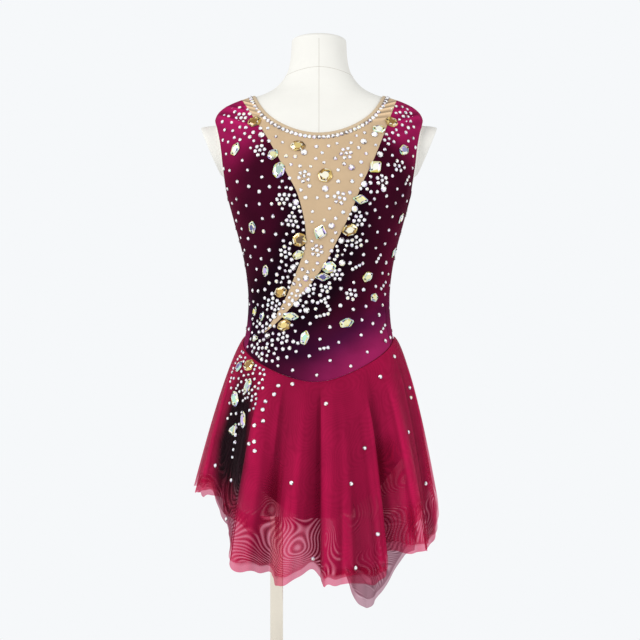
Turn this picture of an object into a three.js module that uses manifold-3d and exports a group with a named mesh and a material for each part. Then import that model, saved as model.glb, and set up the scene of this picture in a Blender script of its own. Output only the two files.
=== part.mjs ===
// A sleeveless figure skating dress on a limbless dress form. Millimetres, +Z up, the wearer faces -Y.
// The origin is on the floor, at the middle of the stand's round base.
// Every cloth piece is a wall worked out from the form's own sections: an angle round the body
// (0 at the front, 90 at the viewer's right, 180 at the back) and a height give a point on the
// form, and the cloth lies a set distance out from it along the surface's normal.
import * as THREE from "three";
import { mergeVertices } from "three/addons/utils/BufferGeometryUtils.js";
import Module from "manifold-3d";

const wasm = await Module();
wasm.setup();

// ---------- driving dimensions ----------
const SEAM_GAP = 0.4; // clear space where two sewn pieces meet
const FORM_EASE = 0.2; // the form stands this far inside the body sections below
const CLOTH_IN = 0.4; // bodice cloth: its inner face outside them
const CLOTH_OUT = 1.9; // and its outer face
const MESH_WALL = 1.0; // skirt mesh, each layer
const LAYER_STEP = 1.7; // from one skirt layer to the next, middle to middle

const NECK_HALF = 107; // half the neckline's width on the shoulder ridge
const NECK_FRONT = 1304; // lowest point of the neckline in front
const NECK_BACK = 1318; // and at the back
const NECK_ROUND = 2; // the power by which the scoop rises from its middle
const NECK_CURL = 9; // and that of the steeper rise at its ends
const CURL_SHARE = 0.3; // the steeper rise's share
const BINDING_WIDTH = 6;
const INSET_LEFT_HALF = 130; // where the nude inset meets the shoulder seam, each side
const INSET_RIGHT_HALF = 131;

const SEAM_SIDE = 973; // waist seam height at the side seams
const SEAM_FRONT = 900; // and where it dips at the front
const SEAM_BACK = 926;
const SEAM_ROUND = 1.2;
const SEAM_TURN = -4; // the dip is this many degrees to one side

const FLARE_REF = 258; // drop below the seam at which flare and folds are stated
const FLARE_LEFT = { reach: 73, power: 0.72 }; // how far it stands out there at each hip, and
const FLARE_RIGHT = { reach: 66, power: 0.62 }; // how soon: it springs out, then hangs
const FLARE_FRONT = 60;
const FLARE_BACK = 66;
const FOLD_POWER = 0.9;
const HIP_CLEAR = 6; // skirt to form, at least
const UNDER_LONGER = 13; // the under layer shows this much below the upper one
const SKIRT_ROWS = 7;
const WAIST_DROP = 0.2; // the skirt's top edge lies this much below the bodice's lower edge
const WAIST_STEP = 1; // and its middle this much outside the bodice's outer face

const POLE_X = -72; // the pole stands to one side, under one thigh
const POLE_RADIUS = 11;
const POLE_DEPTH = 60; // length held inside the form
const FORM_BOTTOM = 676;
const BASE_RADIUS = 180;
const BASE_THICK = 8;
const HUB_RADIUS = 19;
const HUB_TOP = 34;

// ---------- the form's sections ----------
// Each row is one horizontal section: a superellipse of that half width, front and back depth and power.
const BODY = [
  { z: 676, half: 130, front: 69, back: 82, power: 2.35 },
  { z: 684, half: 137, front: 75, back: 90, power: 2.35 },
  { z: 700, half: 142, front: 80, back: 96, power: 2.35 },
  { z: 730, half: 148, front: 84, back: 104, power: 2.35 },
  { z: 770, half: 153, front: 88, back: 112, power: 2.35 },
  { z: 820, half: 155, front: 91, back: 117, power: 2.35 },
  { z: 860, half: 152, front: 93, back: 115, power: 2.35 },
  { z: 900, half: 144, front: 93, back: 109, power: 2.3 },
  { z: 940, half: 132, front: 92, back: 100, power: 2.3 },
  { z: 974, half: 123, front: 90, back: 91, power: 2.25 },
  { z: 1005, half: 119, front: 88, back: 84, power: 2.25 },
  { z: 1041, half: 118, front: 88, back: 81, power: 2.25 },
  { z: 1082, half: 122, front: 92, back: 83, power: 2.3 },
  { z: 1122, half: 130, front: 100, back: 89, power: 2.35 },
  { z: 1163, half: 141, front: 110, back: 96, power: 2.45 },
  { z: 1204, half: 152, front: 117, back: 101, power: 2.6 },
  { z: 1235, half: 160, front: 114, back: 103, power: 2.8 },
  { z: 1270, half: 168, front: 103, back: 101, power: 3.0 },
  { z: 1300, half: 173, front: 91, back: 94, power: 3.1 },
  { z: 1325, half: 175, front: 81, back: 84, power: 3.0 },
  { z: 1342, half: 172, front: 74, back: 78, power: 2.9 },
  { z: 1354, half: 162, front: 68, back: 72, power: 2.7 },
  { z: 1364, half: 144, front: 63, back: 67, power: 2.5 },
  { z: 1373, half: 119, front: 59, back: 63, power: 2.3 },
  { z: 1380, half: 98, front: 57, back: 60, power: 2.2 },
  { z: 1390, half: 79, front: 54, back: 57, power: 2.1 },
  { z: 1403, half: 65, front: 52, back: 54, power: 2.05 },
  { z: 1421, half: 54, front: 51, back: 52, power: 2.0 },
  { z: 1443, half: 49, front: 49, back: 50, power: 2.0 },
  { z: 1472, half: 47, front: 48, back: 48, power: 2.0 },
];

// ---------- the cut ----------
// The nude inset's two edges, seen from the front, from its tip at the waist up to the shoulders.
const INSET_LEFT = [
  { x: -92, z: 976 },
  { x: -76, z: 998 },
  { x: -56, z: 1032 },
  { x: -36, z: 1080 },
  { x: -23, z: 1118 },
  { x: -22, z: 1150 },
  { x: -34, z: 1201 },
  { x: -51, z: 1234 },
  { x: -72, z: 1274 },
  { x: -89, z: 1304 },
  { x: -109, z: 1334 },
  { x: -119, z: 1350 },
  { x: -125, z: 1360 },
];
const INSET_RIGHT = [
  { x: -92, z: 976 },
  { x: -72, z: 992 },
  { x: -50, z: 1015 },
  { x: -20, z: 1050 },
  { x: 9, z: 1090 },
  { x: 30, z: 1130 },
  { x: 52, z: 1176 },
  { x: 69, z: 1218 },
  { x: 87, z: 1256 },
  { x: 101, z: 1290 },
  { x: 118, z: 1336 },
  { x: 124, z: 1351 },
  { x: 127, z: 1360 },
];
// The armhole, seen from the side.
const ARMHOLE = [
  { y: -32, z: 1217 },
  { y: -10, z: 1210 },
  { y: 14, z: 1220 },
  { y: 36, z: 1243 },
  { y: 46, z: 1278 },
  { y: 41, z: 1311 },
  { y: 24, z: 1332 },
  { y: 0, z: 1341 },
  { y: -25, z: 1333 },
  { y: -45, z: 1312 },
  { y: -55, z: 1279 },
  { y: -49, z: 1243 },
];
// The side seam, seen from the side, from below the waist up to the armhole.
const SIDE_SEAM = [
  { y: -41, z: 880 },
  { y: -41, z: 970 },
  { y: -36, z: 1095 },
  { y: -31, z: 1216 },
];

// The skirt's folds: how far each crest stands out, or valley lies in, at FLARE_REF below the seam.
const FOLDS = [
  { angle: -90, reach: 13 },
  { angle: -60, reach: -21 },
  { angle: -41, reach: 11 },
  { angle: -30, reach: -12 },
  { angle: -14, reach: 10 },
  { angle: 1, reach: -16 },
  { angle: 12, reach: 15 },
  { angle: 27, reach: 5 },
  { angle: 41, reach: -16 },
  { angle: 54, reach: 12 },
  { angle: 66, reach: -8 },
  { angle: 79, reach: 5 },
  { angle: 91, reach: -8 },
  { angle: 103, reach: 0 },
  { angle: 117, reach: -17 },
  { angle: 131, reach: 9 },
  { angle: 144, reach: -15 },
  { angle: 156, reach: 14 },
  { angle: 168, reach: -16 },
  { angle: 180, reach: 13 },
  { angle: 193, reach: -16 },
  { angle: 206, reach: 14 },
  { angle: 219, reach: -15 },
  { angle: 232, reach: 12 },
  { angle: 246, reach: -14 },
  { angle: 257, reach: 4 },
  { angle: 270, reach: 13 },
];
// The skirt's uneven hem, which is the under layer's.
const HEM = [
  { angle: -90, z: 706 },
  { angle: -80, z: 716 },
  { angle: -71, z: 714 },
  { angle: -64, z: 682 },
  { angle: -57, z: 662 },
  { angle: -50, z: 640 },
  { angle: -44, z: 612 },
  { angle: -34, z: 603 },
  { angle: -26, z: 596 },
  { angle: -14, z: 586 },
  { angle: -3, z: 604 },
  { angle: 5, z: 588 },
  { angle: 20, z: 590 },
  { angle: 34, z: 592 },
  { angle: 40, z: 628 },
  { angle: 56, z: 628 },
  { angle: 73, z: 636 },
  { angle: 81, z: 700 },
  { angle: 92, z: 714 },
  { angle: 106, z: 668 },
  { angle: 120, z: 612 },
  { angle: 134, z: 576 },
  { angle: 141, z: 516 },
  { angle: 151, z: 466 },
  { angle: 159, z: 484 },
  { angle: 165, z: 552 },
  { angle: 176, z: 632 },
  { angle: 192, z: 650 },
  { angle: 208, z: 618 },
  { angle: 222, z: 612 },
  { angle: 236, z: 652 },
  { angle: 250, z: 690 },
  { angle: 270, z: 706 },
];

// Large sew-on stones, by where their middles lie seen from the front.
// long and wide are the stone's two widths, turn its tilt, and corners its outline.
const BODICE_STONES = [
  { x: -105, z: 1323, long: 21, wide: 17, turn: 20, corners: 6 },
  { x: 118, z: 1323, long: 20, wide: 17, turn: -20, corners: 6 },
  { x: -135, z: 1278, long: 21, wide: 14, turn: 65, corners: 5 },
  { x: 137, z: 1277, long: 19, wide: 15, turn: 30, corners: 5 },
  { x: -74, z: 1266, long: 19, wide: 15, turn: 55, corners: 5 },
  { x: -64, z: 1240, long: 25, wide: 18, turn: 80, corners: 6 },
  { x: 90, z: 1246, long: 23, wide: 19, turn: 40, corners: 4 },
  { x: 66, z: 1194, long: 23, wide: 14, turn: -8, corners: 4 },
  { x: -107, z: 1152, long: 20, wide: 14, turn: 70, corners: 5 },
  { x: 49, z: 1146, long: 23, wide: 18, turn: 15, corners: 6 },
  { x: -31, z: 1130, long: 22, wide: 20, turn: 40, corners: 6 },
  { x: -33, z: 1106, long: 18, wide: 13, turn: 30, corners: 5 },
  { x: 133, z: 1169, long: 18, wide: 11, turn: 65, corners: 4 },
  { x: -86, z: 1081, long: 18, wide: 11, turn: 75, corners: 6 },
  { x: 16, z: 1086, long: 21, wide: 18, turn: 12, corners: 6 },
  { x: 6, z: 1070, long: 23, wide: 12, turn: 0, corners: 4 },
  { x: 78, z: 1071, long: 19, wide: 14, turn: 35, corners: 5 },
  { x: 122, z: 1113, long: 18, wide: 10, turn: 60, corners: 4 },
  { x: -61, z: 1046, long: 21, wide: 16, turn: 15, corners: 6 },
  { x: 89, z: 1037, long: 15, wide: 13, turn: 0, corners: 5 },
  { x: -104, z: 1014, long: 15, wide: 9, turn: 70, corners: 5 },
  { x: -92, z: 1006, long: 15, wide: 9, turn: 70, corners: 5 },
  { x: -46, z: 1006, long: 26, wide: 12, turn: -5, corners: 5 },
  { x: 44, z: 995, long: 23, wide: 14, turn: 15, corners: 5 },
  { x: -56, z: 991, long: 22, wide: 17, turn: 20, corners: 6 },
  { x: -23, z: 971, long: 22, wide: 13, turn: 75, corners: 5 },
  { x: -103, z: 970, long: 14, wide: 12, turn: 0, corners: 3 },
];
const INSET_STONES = [
  { x: -34, z: 1280, long: 22, wide: 18, turn: 0, corners: 6 },
  { x: 97, z: 1310, long: 20, wide: 14, turn: 0, corners: 5 },
  { x: 10, z: 1231, long: 22, wide: 21, turn: 45, corners: 6 },
  { x: 2, z: 1142, long: 23, wide: 19, turn: 70, corners: 4 },
];
// Those on the skirt, by angle round the body and drop below the waist seam.
const SKIRT_STONES = [
  { angle: -61, drop: 14, long: 17, wide: 15, turn: 10, corners: 6 },
  { angle: -69, drop: 30, long: 16, wide: 11, turn: 60, corners: 5 },
  { angle: -55, drop: 42, long: 20, wide: 11, turn: 75, corners: 6 },
  { angle: -64, drop: 76, long: 20, wide: 13, turn: -65, corners: 6 },
  { angle: -54, drop: 96, long: 22, wide: 9, turn: -75, corners: 6 },
  { angle: -62, drop: 122, long: 17, wide: 12, turn: 60, corners: 3 },
];
const STONE_SINK = 0.7; // how deep its root goes into the cloth
const STONE_LIFT = 0.6; // its underside above the cloth
const STONE_GIRDLE = 1.6; // its widest line
const STONE_TABLE = 3.6; // its top
const STONE_ROOT = 2.6; // radius of the root

// ---------- small mathematics ----------
const rad = THREE.MathUtils.degToRad;
const lerp = THREE.MathUtils.lerp;
const clamp = THREE.MathUtils.clamp;

// A smooth curve through a table's rows: cubic pieces whose slopes come from each row's neighbours.
function through(rows, input, output, at) {
  const last = rows.length - 1;
  const place = clamp(at, rows[0][input], rows[last][input]);
  let i = 0;
  while (i < last - 1 && place > rows[i + 1][input]) i += 1;
  const slope = (k) => {
    const a = rows[Math.max(k - 1, 0)];
    const b = rows[Math.min(k + 1, last)];
    return (b[output] - a[output]) / (b[input] - a[input]);
  };
  const width = rows[i + 1][input] - rows[i][input];
  const t = (place - rows[i][input]) / width;
  const t2 = t * t;
  const t3 = t2 * t;
  return (
    (2 * t3 - 3 * t2 + 1) * rows[i][output] +
    (t3 - 2 * t2 + t) * width * slope(i) +
    (3 * t2 - 2 * t3) * rows[i + 1][output] +
    (t3 - t2) * width * slope(i + 1)
  );
}

// A table read with level crests and valleys: a cosine from each row to the next.
function wave(rows, output, at) {
  let i = 0;
  while (i < rows.length - 2 && at > rows[i + 1].angle) i += 1;
  const t = clamp((at - rows[i].angle) / (rows[i + 1].angle - rows[i].angle), 0, 1);
  return lerp(rows[i][output], rows[i + 1][output], (1 - Math.cos(Math.PI * t)) / 2);
}

// ---------- the form's surface ----------
const section = (z) => ({
  half: through(BODY, "z", "half", z),
  front: through(BODY, "z", "front", z),
  back: through(BODY, "z", "back", z),
  power: through(BODY, "z", "power", z),
});

function bodyRadius(angle, z) {
  const s = section(z);
  const across = Math.abs(Math.sin(rad(angle))) / s.half;
  const along = Math.cos(rad(angle));
  const deep = Math.abs(along) / (along > 0 ? s.front : s.back);
  return (across ** s.power + deep ** s.power) ** (-1 / s.power);
}

const polar = (angle, r, z) =>
  new THREE.Vector3(r * Math.sin(rad(angle)), -r * Math.cos(rad(angle)), z);
const bodyPoint = (angle, z) => polar(angle, bodyRadius(angle, z), z);

// The outward normal of any surface given by angle and a second number that grows downwards.
function normalOf(surface, angle, down, stepAngle, stepDown) {
  const sideways = surface(angle + stepAngle, down).sub(surface(angle - stepAngle, down));
  const downwards = surface(angle, down + stepDown).sub(surface(angle, down - stepDown));
  return sideways.cross(downwards).negate().normalize();
}

function onBody(angle, z) {
  const surface = (a, down) => bodyPoint(a, -down);
  return { p: bodyPoint(angle, z), n: normalOf(surface, angle, -z, 0.3, 0.6) };
}

// The angle at which a place seen from the front, x across and z up, lies on the front of the form.
function angleFromFront(x, z) {
  const s = section(z);
  const share = Math.min(Math.abs(x) / s.half, 1);
  const y = s.front * (1 - share ** s.power) ** (1 / s.power);
  return THREE.MathUtils.radToDeg(Math.atan2(x, y));
}

// Height of the shoulder ridge at a distance out from the middle.
function ridge(x) {
  let low = 1336;
  let high = 1421;
  for (let k = 0; k < 40; k += 1) {
    const middle = (low + high) / 2;
    if (section(middle).half > x) low = middle;
    else high = middle;
  }
  return low;
}

const seamHeight = (angle) => {
  const along = Math.cos(rad(angle - SEAM_TURN));
  const low = along > 0 ? SEAM_FRONT : SEAM_BACK;
  return SEAM_SIDE - (SEAM_SIDE - low) * Math.abs(along) ** SEAM_ROUND;
};

// ---------- cloth walls ----------
// A sheet gathers points with normals and triangles; points at one place are one point, so two
// grids that share an edge are one sheet. wall() gives it thickness and closes it along its rim.
class Sheet {
  constructor() {
    this.points = [];
    this.faces = [];
    this.found = new Map();
  }

  point({ p, n }) {
    const key = [p.x, p.y, p.z].map((value) => Math.round(value * 50)).join(" ");
    if (!this.found.has(key)) {
      this.found.set(key, this.points.length);
      this.points.push({ p, n });
    }
    return this.found.get(key);
  }

  // at(u, v) gives the point and normal of each crossing of the two lists.
  grid(us, vs, at) {
    const rows = vs.map((v) => us.map((u) => this.point(at(u, v))));
    const found = [];
    for (let j = 0; j + 1 < vs.length; j += 1) {
      for (let i = 0; i + 1 < us.length; i += 1) {
        found.push([rows[j][i], rows[j][i + 1], rows[j + 1][i + 1]]);
        found.push([rows[j][i], rows[j + 1][i + 1], rows[j + 1][i]]);
      }
    }
    const facing = ([a, b, c]) => {
      const [pa, pb, pc] = [a, b, c].map((k) => this.points[k].p);
      const flat = pb.clone().sub(pa).cross(pc.clone().sub(pa));
      return flat.dot(this.points[a].n);
    };
    const whole = found.filter(([a, b, c]) => a !== b && b !== c && c !== a);
    const outwards = whole.reduce((sum, face) => sum + facing(face), 0) > 0;
    this.faces.push(...whole.map(([a, b, c]) => (outwards ? [a, b, c] : [a, c, b])));
    return this;
  }

  wall(inside, outside) {
    const count = this.points.length;
    const place = (offset) =>
      this.points.map(({ p, n }) => p.clone().addScaledVector(n, offset));
    const corners = [...place(outside), ...place(inside)];
    const index = [];
    const edges = new Map();
    for (const [a, b, c] of this.faces) {
      index.push(a, b, c, a + count, c + count, b + count);
      for (const [from, to] of [
        [a, b],
        [b, c],
        [c, a],
      ])
        edges.set(from + " " + to, [from, to]);
    }
    for (const [from, to] of edges.values()) {
      if (edges.has(to + " " + from)) continue;
      index.push(to, from, from + count, to, from + count, to + count);
    }
    return new THREE.BufferGeometry().setFromPoints(corners).setIndex(index);
  }
}

const steps = (from, to, count) =>
  Array.from({ length: count + 1 }, (_, i) => lerp(from, to, i / count));

// ---------- joining and cutting solids ----------
function toSolid(geometry) {
  const bare = geometry.clone();
  bare.deleteAttribute("normal");
  bare.deleteAttribute("uv");
  const merged = mergeVertices(bare, 1e-3);
  return new wasm.Manifold(
    new wasm.Mesh({
      numProp: 3,
      vertProperties: merged.attributes.position.array,
      triVerts: new Uint32Array(merged.index.array),
    }),
  );
}

function fromSolid(solid) {
  const mesh = solid.getMesh();
  return new THREE.BufferGeometry()
    .setAttribute("position", new THREE.BufferAttribute(mesh.vertProperties, 3))
    .setIndex(new THREE.BufferAttribute(mesh.triVerts, 1));
}

// A closed stack of equal rings of points, from the lowest ring up, with flat ends.
function stackOf(points, count) {
  const index = [];
  const top = points.length - count;
  for (let low = 0; low < top; low += count) {
    for (let i = 0; i < count; i += 1) {
      const j = (i + 1) % count;
      index.push(low + i, low + j, low + count + j, low + i, low + count + j, low + count + i);
    }
  }
  for (let i = 1; i + 1 < count; i += 1) index.push(0, i + 1, i, top, top + i, top + i + 1);
  return new THREE.BufferGeometry().setFromPoints(points).setIndex(index);
}

// ---------- large stones ----------
// A cut stone on a point of cloth: a short root in its own panel, a flat underside just clear of
// the cloth, a girdle and a smaller table on top.
function stone({ p, n }, { long, wide, turn, corners }) {
  const across = new THREE.Vector3(0, 0, 1).cross(n).normalize();
  const up = n.clone().cross(across);
  const rootSize = (2 * STONE_ROOT) / Math.max(long, wide);
  const rings = [
    { size: rootSize, lift: -STONE_SINK },
    { size: rootSize, lift: STONE_LIFT },
    { size: 1, lift: STONE_GIRDLE },
    { size: 0.58, lift: STONE_TABLE },
  ];
  const points = rings.flatMap(({ size, lift }) =>
    steps(0, 360, corners)
      .slice(1)
      .map((step) => {
        const u = (long / 2) * Math.cos(rad(step)) * size;
        const v = (wide / 2) * Math.sin(rad(step)) * size;
        return p
          .clone()
          .addScaledVector(across, u * Math.cos(rad(turn)) - v * Math.sin(rad(turn)))
          .addScaledVector(up, u * Math.sin(rad(turn)) + v * Math.cos(rad(turn)))
          .addScaledVector(n, lift);
      }),
  );
  return toSolid(stackOf(points, corners));
}

// Set each stone on its panel: along the panel's normal, down to the cloth's outer face.
function withStones(geometry, settings) {
  const cloth = new THREE.Mesh(geometry, new THREE.MeshStandardMaterial());
  const seated = ({ p, n }) => {
    const start = p.clone().addScaledVector(n, 12);
    const hit = new THREE.Raycaster(start, n.clone().negate()).intersectObject(cloth)[0];
    return { p: hit.point, n };
  };
  return fromSolid(
    settings.reduce(
      (solid, { place, cut }) => solid.add(stone(seated(place), cut)),
      toSolid(geometry),
    ),
  );
}

const fromFront = ({ x, z }) => onBody(angleFromFront(x, z), z);

// ---------- bodice: front, inset, back, binding ----------
// Whole shells of cloth stand round the body on the form's own lattice of points, and the panels
// are cut from them by prisms: seen from the front for the inset, the neckline and the waist seam,
// and from the side for the side seams, the shoulder seams, the armholes and the leg openings.
const SHELL_COLUMNS = 36;
const FAR = 400; // past everything
const SKY = 1600;

function shell(inside, outside, from, to) {
  const levels = BODY.map(({ z }) => z).filter((z) => z >= from && z <= to);
  return toSolid(
    new Sheet().grid(steps(-180, 180, SHELL_COLUMNS), levels, onBody).wall(inside, outside),
  );
}

// A prism on an outline given as (a, z): along Y with a across, or along X with a in depth.
function prism(outline, from, to, alongX) {
  const shape = new THREE.Shape(outline);
  const geometry = new THREE.ExtrudeGeometry(shape, { depth: to - from, bevelEnabled: false });
  const turn = alongX
    ? new THREE.Matrix4().set(0, 0, 1, from, 1, 0, 0, 0, 0, 1, 0, 0, 0, 0, 0, 1)
    : new THREE.Matrix4().set(1, 0, 0, 0, 0, 0, -1, to, 0, 1, 0, 0, 0, 0, 0, 1);
  return toSolid(geometry.applyMatrix4(turn));
}

const flat = (a, z) => new THREE.Vector2(a, z);
const smooth = (points, count) => new THREE.SplineCurve(points).getPoints(count);

// Everything inside the scoop of the neck, w out from its edge, on the front or the back.
function neckPrism(w, back) {
  const reach = NECK_HALF + w;
  const bottom = (back ? NECK_BACK : NECK_FRONT) - w;
  const corner = ridge(reach);
  const scoop = steps(-90, 90, 14).map((turn) => {
    const side = Math.sin(rad(turn));
    const out = Math.abs(side);
    const rise = lerp(out ** NECK_ROUND, out ** NECK_CURL, CURL_SHARE);
    return flat(side * reach, bottom + (corner - bottom) * rise);
  });
  const outline = [...scoop, flat(reach, SKY), flat(-reach, SKY)];
  return back ? prism(outline, -0.5, FAR, false) : prism(outline, -FAR, 0.5, false);
}

// The inset's V, grown by a distance, or shrunk by a negative one with its thin tip cut short.
const INSET_TIP_CUT = 4.5;
function insetPrism(grow) {
  const side = (rows, cornerHalf, way) => {
    const shift = way * grow;
    const points = rows.slice(1).map(({ x, z }) => flat(x + shift, z));
    return [...points, flat(way * cornerHalf + shift, ridge(cornerHalf))];
  };
  const raised = grow < 0 ? INSET_TIP_CUT : -2 * grow;
  const tip = flat(INSET_LEFT[0].x + raised, INSET_LEFT[0].z + raised);
  const left = smooth([tip, ...side(INSET_LEFT, INSET_LEFT_HALF, -1)], 18);
  const right = smooth([tip, ...side(INSET_RIGHT, INSET_RIGHT_HALF, 1)], 18);
  const top = [flat(INSET_RIGHT_HALF + grow, SKY), flat(-INSET_LEFT_HALF - grow, SKY)];
  return prism([...right, ...top, ...left.slice(1).reverse()], -FAR, 0.5, false);
}

// All that lies in front of, or behind, the side and shoulder seams.
function seamPrism(back) {
  const shift = ((back ? 1 : -1) * SEAM_GAP) / 2;
  const far = back ? FAR : -FAR;
  const top = ARMHOLE[7].z;
  const seam = [...SIDE_SEAM, { y: 0, z: top }, { y: 0, z: SKY }];
  const outline = seam.map(({ y, z }) => flat(y + shift, z));
  return prism([...outline, flat(far, SKY), flat(far, SIDE_SEAM[0].z)], -FAR, FAR, true);
}

function armholes() {
  const loop = [...ARMHOLE, ARMHOLE[0]].map(({ y, z }) => flat(y, z));
  const outline = smooth(loop, 24).slice(0, -1);
  return prism(outline, 100, FAR, true).add(prism(outline, -FAR, -100, true));
}

// All that lies above the waist seam, lowered by a distance: a ring whose underside follows it.
function aboveSeam(lowered) {
  const angles = steps(-180, 180, 36).slice(1);
  const corners = (angle) => {
    const low = seamHeight(angle) - lowered;
    return [polar(angle, 10, low), polar(angle, FAR, low), polar(angle, FAR, SKY),
      polar(angle, 10, SKY)];
  };
  const index = [];
  for (let i = 0; i < angles.length; i += 1) {
    const next = ((i + 1) % angles.length) * 4;
    for (let k = 0; k < 4; k += 1) {
      const [a, b] = [i * 4 + k, i * 4 + ((k + 1) % 4)];
      const [c, d] = [next + ((k + 1) % 4), next + k];
      index.push(a, c, b, a, d, c);
    }
  }
  return toSolid(new THREE.BufferGeometry().setFromPoints(angles.flatMap(corners)).setIndex(index));
}

const bodiceCloth = shell(CLOTH_IN, CLOTH_OUT, 860, 1400)
  .intersect(aboveSeam(0))
  .subtract(armholes());
const frontCloth = bodiceCloth
  .intersect(seamPrism(false))
  .subtract(neckPrism(BINDING_WIDTH + SEAM_GAP, false));
const backCloth = bodiceCloth
  .intersect(seamPrism(true))
  .subtract(neckPrism(BINDING_WIDTH + SEAM_GAP, true));
const stonesFromFront = (cuts) => cuts.map((cut) => ({ place: fromFront(cut), cut }));

const bodiceFront = () =>
  withStones(
    fromSolid(frontCloth.subtract(insetPrism(SEAM_GAP / 2))),
    stonesFromFront(BODICE_STONES),
  );

const frontInset = () =>
  withStones(
    fromSolid(frontCloth.intersect(insetPrism(-SEAM_GAP / 2))),
    stonesFromFront(INSET_STONES),
  );

function neckBinding() {
  const cloth = shell(CLOTH_IN, CLOTH_OUT + 0.4, 1235, 1400);
  const strip = (back) =>
    cloth.intersect(neckPrism(BINDING_WIDTH, back)).subtract(neckPrism(0, back));
  return fromSolid(strip(false).add(strip(true)));
}

// ---------- briefs ----------
// The leotard's lower half: from just under the waist seam down to leg openings that are high at
// the hips, and a narrow gusset that turns under the form and joins front to back.
const GUSSET_HALF = 34;
const BRIEFS_TOP = 2; // below the waist seam
const BRIEFS_FOOT = 684;
const BRIEFS_OUT = CLOTH_IN + 1.1;
// A leg opening, seen from the side.
const LEG = [
  { y: -73, z: BRIEFS_FOOT },
  { y: -74, z: 702 },
  { y: -66, z: 732 },
  { y: -52, z: 766 },
  { y: -24, z: 794 },
  { y: 2, z: 801 },
  { y: 30, z: 795 },
  { y: 64, z: 766 },
  { y: 82, z: 732 },
  { y: 90, z: 702 },
  { y: 86, z: BRIEFS_FOOT },
];

function briefs() {
  const leg = smooth(LEG.map(({ y, z }) => flat(y, z)), 12);
  const hole = [...leg, flat(86, 600), flat(-73, 600)];
  const cloth = shell(CLOTH_IN, BRIEFS_OUT, BRIEFS_FOOT, 974)
    .subtract(aboveSeam(BRIEFS_TOP))
    .subtract(prism(hole, GUSSET_HALF, FAR, true))
    .subtract(prism(hole, -FAR, -GUSSET_HALF, true));
  // The gusset's path: over the form's lower edge in front, across its underside, and up behind.
  const halfAngle = (depth) => THREE.MathUtils.radToDeg(Math.atan2(GUSSET_HALF - 1, depth));
  const [front, back] = [section(BRIEFS_FOOT).front, section(BRIEFS_FOOT).back].map(halfAngle);
  const path = Array.from({ length: 10 }, (_, i) => i - 1);
  const strip = new Sheet().grid([-1, 0, 1], path, (side, step) => {
    const ahead = side * front;
    const behind = 180 - side * back;
    if (step < 1) return onBody(ahead, step < 0 ? 700 : BRIEFS_FOOT);
    if (step > 6) return onBody(behind > 180 ? behind - 360 : behind, step > 7 ? 700 : BRIEFS_FOOT);
    const start = bodyPoint(ahead, FORM_BOTTOM);
    const end = bodyPoint(behind, FORM_BOTTOM);
    const n = new THREE.Vector3(0, step === 1 ? -1 : step === 6 ? 1 : 0, -1).normalize();
    return { p: start.lerp(end, (step - 1) / 5), n };
  });
  return fromSolid(cloth.add(toSolid(strip.wall(CLOTH_IN, BRIEFS_OUT))));
}

// ---------- skirt ----------
function flare(angle, share) {
  const along = Math.cos(rad(angle));
  const towardsRight = (1 + Math.sin(rad(angle))) / 2;
  const side = lerp(FLARE_LEFT.reach, FLARE_RIGHT.reach, towardsRight);
  const power = lerp(FLARE_LEFT.power, FLARE_RIGHT.power, towardsRight);
  return lerp(side, along > 0 ? FLARE_FRONT : FLARE_BACK, along * along) * share ** power;
}
const hemHeight = (angle) => through(HEM, "angle", "z", angle);

// The middle of the upper layer at an angle and a drop below the seam.
function skirtPoint(angle, drop) {
  const top = seamHeight(angle) - WAIST_DROP;
  const z = top - drop;
  const share = Math.max(drop, 0) / FLARE_REF;
  const hang =
    bodyRadius(angle, top) +
    CLOTH_OUT +
    WAIST_STEP +
    flare(angle, share) +
    wave(FOLDS, "reach", angle) * share ** FOLD_POWER;
  const least = bodyRadius(angle, Math.max(z, FORM_BOTTOM)) + HIP_CLEAR * Math.min(1, drop / 12);
  return polar(angle, Math.max(hang, least), z);
}

function onSkirt(angle, drop) {
  const near = Math.max(drop, 1);
  return { p: skirtPoint(angle, drop), n: normalOf(skirtPoint, angle, near, 0.4, 1) };
}

// Angles with three or more columns from each crest to the next valley.
function foldColumns(from, to) {
  const stops = FOLDS.map(({ angle }) => angle).filter((a) => a > from + 2 && a < to - 2);
  const ends = [from, ...stops, to];
  return ends.slice(0, -1).flatMap((a, i) => {
    const count = Math.max(3, Math.round((ends[i + 1] - a) / 6));
    return steps(a, ends[i + 1], count).slice(i ? 1 : 0);
  });
}

// The under layer has the upper one's rows, starts one row lower and goes on past its hem.
function skirtLayer(from, to, under) {
  const joinAngle = THREE.MathUtils.radToDeg(SEAM_GAP / 2 / 125);
  const rows = steps(0, 1, SKIRT_ROWS).map((t) => t ** 1.5);
  if (under) rows.shift();
  if (under) rows.push(2);
  const sheet = new Sheet().grid(
    foldColumns(from + joinAngle, to - joinAngle),
    rows,
    (angle, t) => {
      const hem = seamHeight(angle) - hemHeight(angle) - UNDER_LONGER;
      return onSkirt(angle, hem * Math.min(t, 1) + (t > 1 ? UNDER_LONGER : 0));
    },
  );
  const middle = under ? -LAYER_STEP : 0;
  return sheet.wall(middle - MESH_WALL / 2, middle + MESH_WALL / 2);
}

function skirtFrontUpper() {
  const settings = SKIRT_STONES.map((cut) => ({ place: onSkirt(cut.angle, cut.drop), cut }));
  return withStones(skirtLayer(-90, 90, false), settings);
}

// ---------- the dress form and its stand ----------
const STUB_SIDES = 14;
const TORSO_SIDES = SHELL_COLUMNS;

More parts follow.
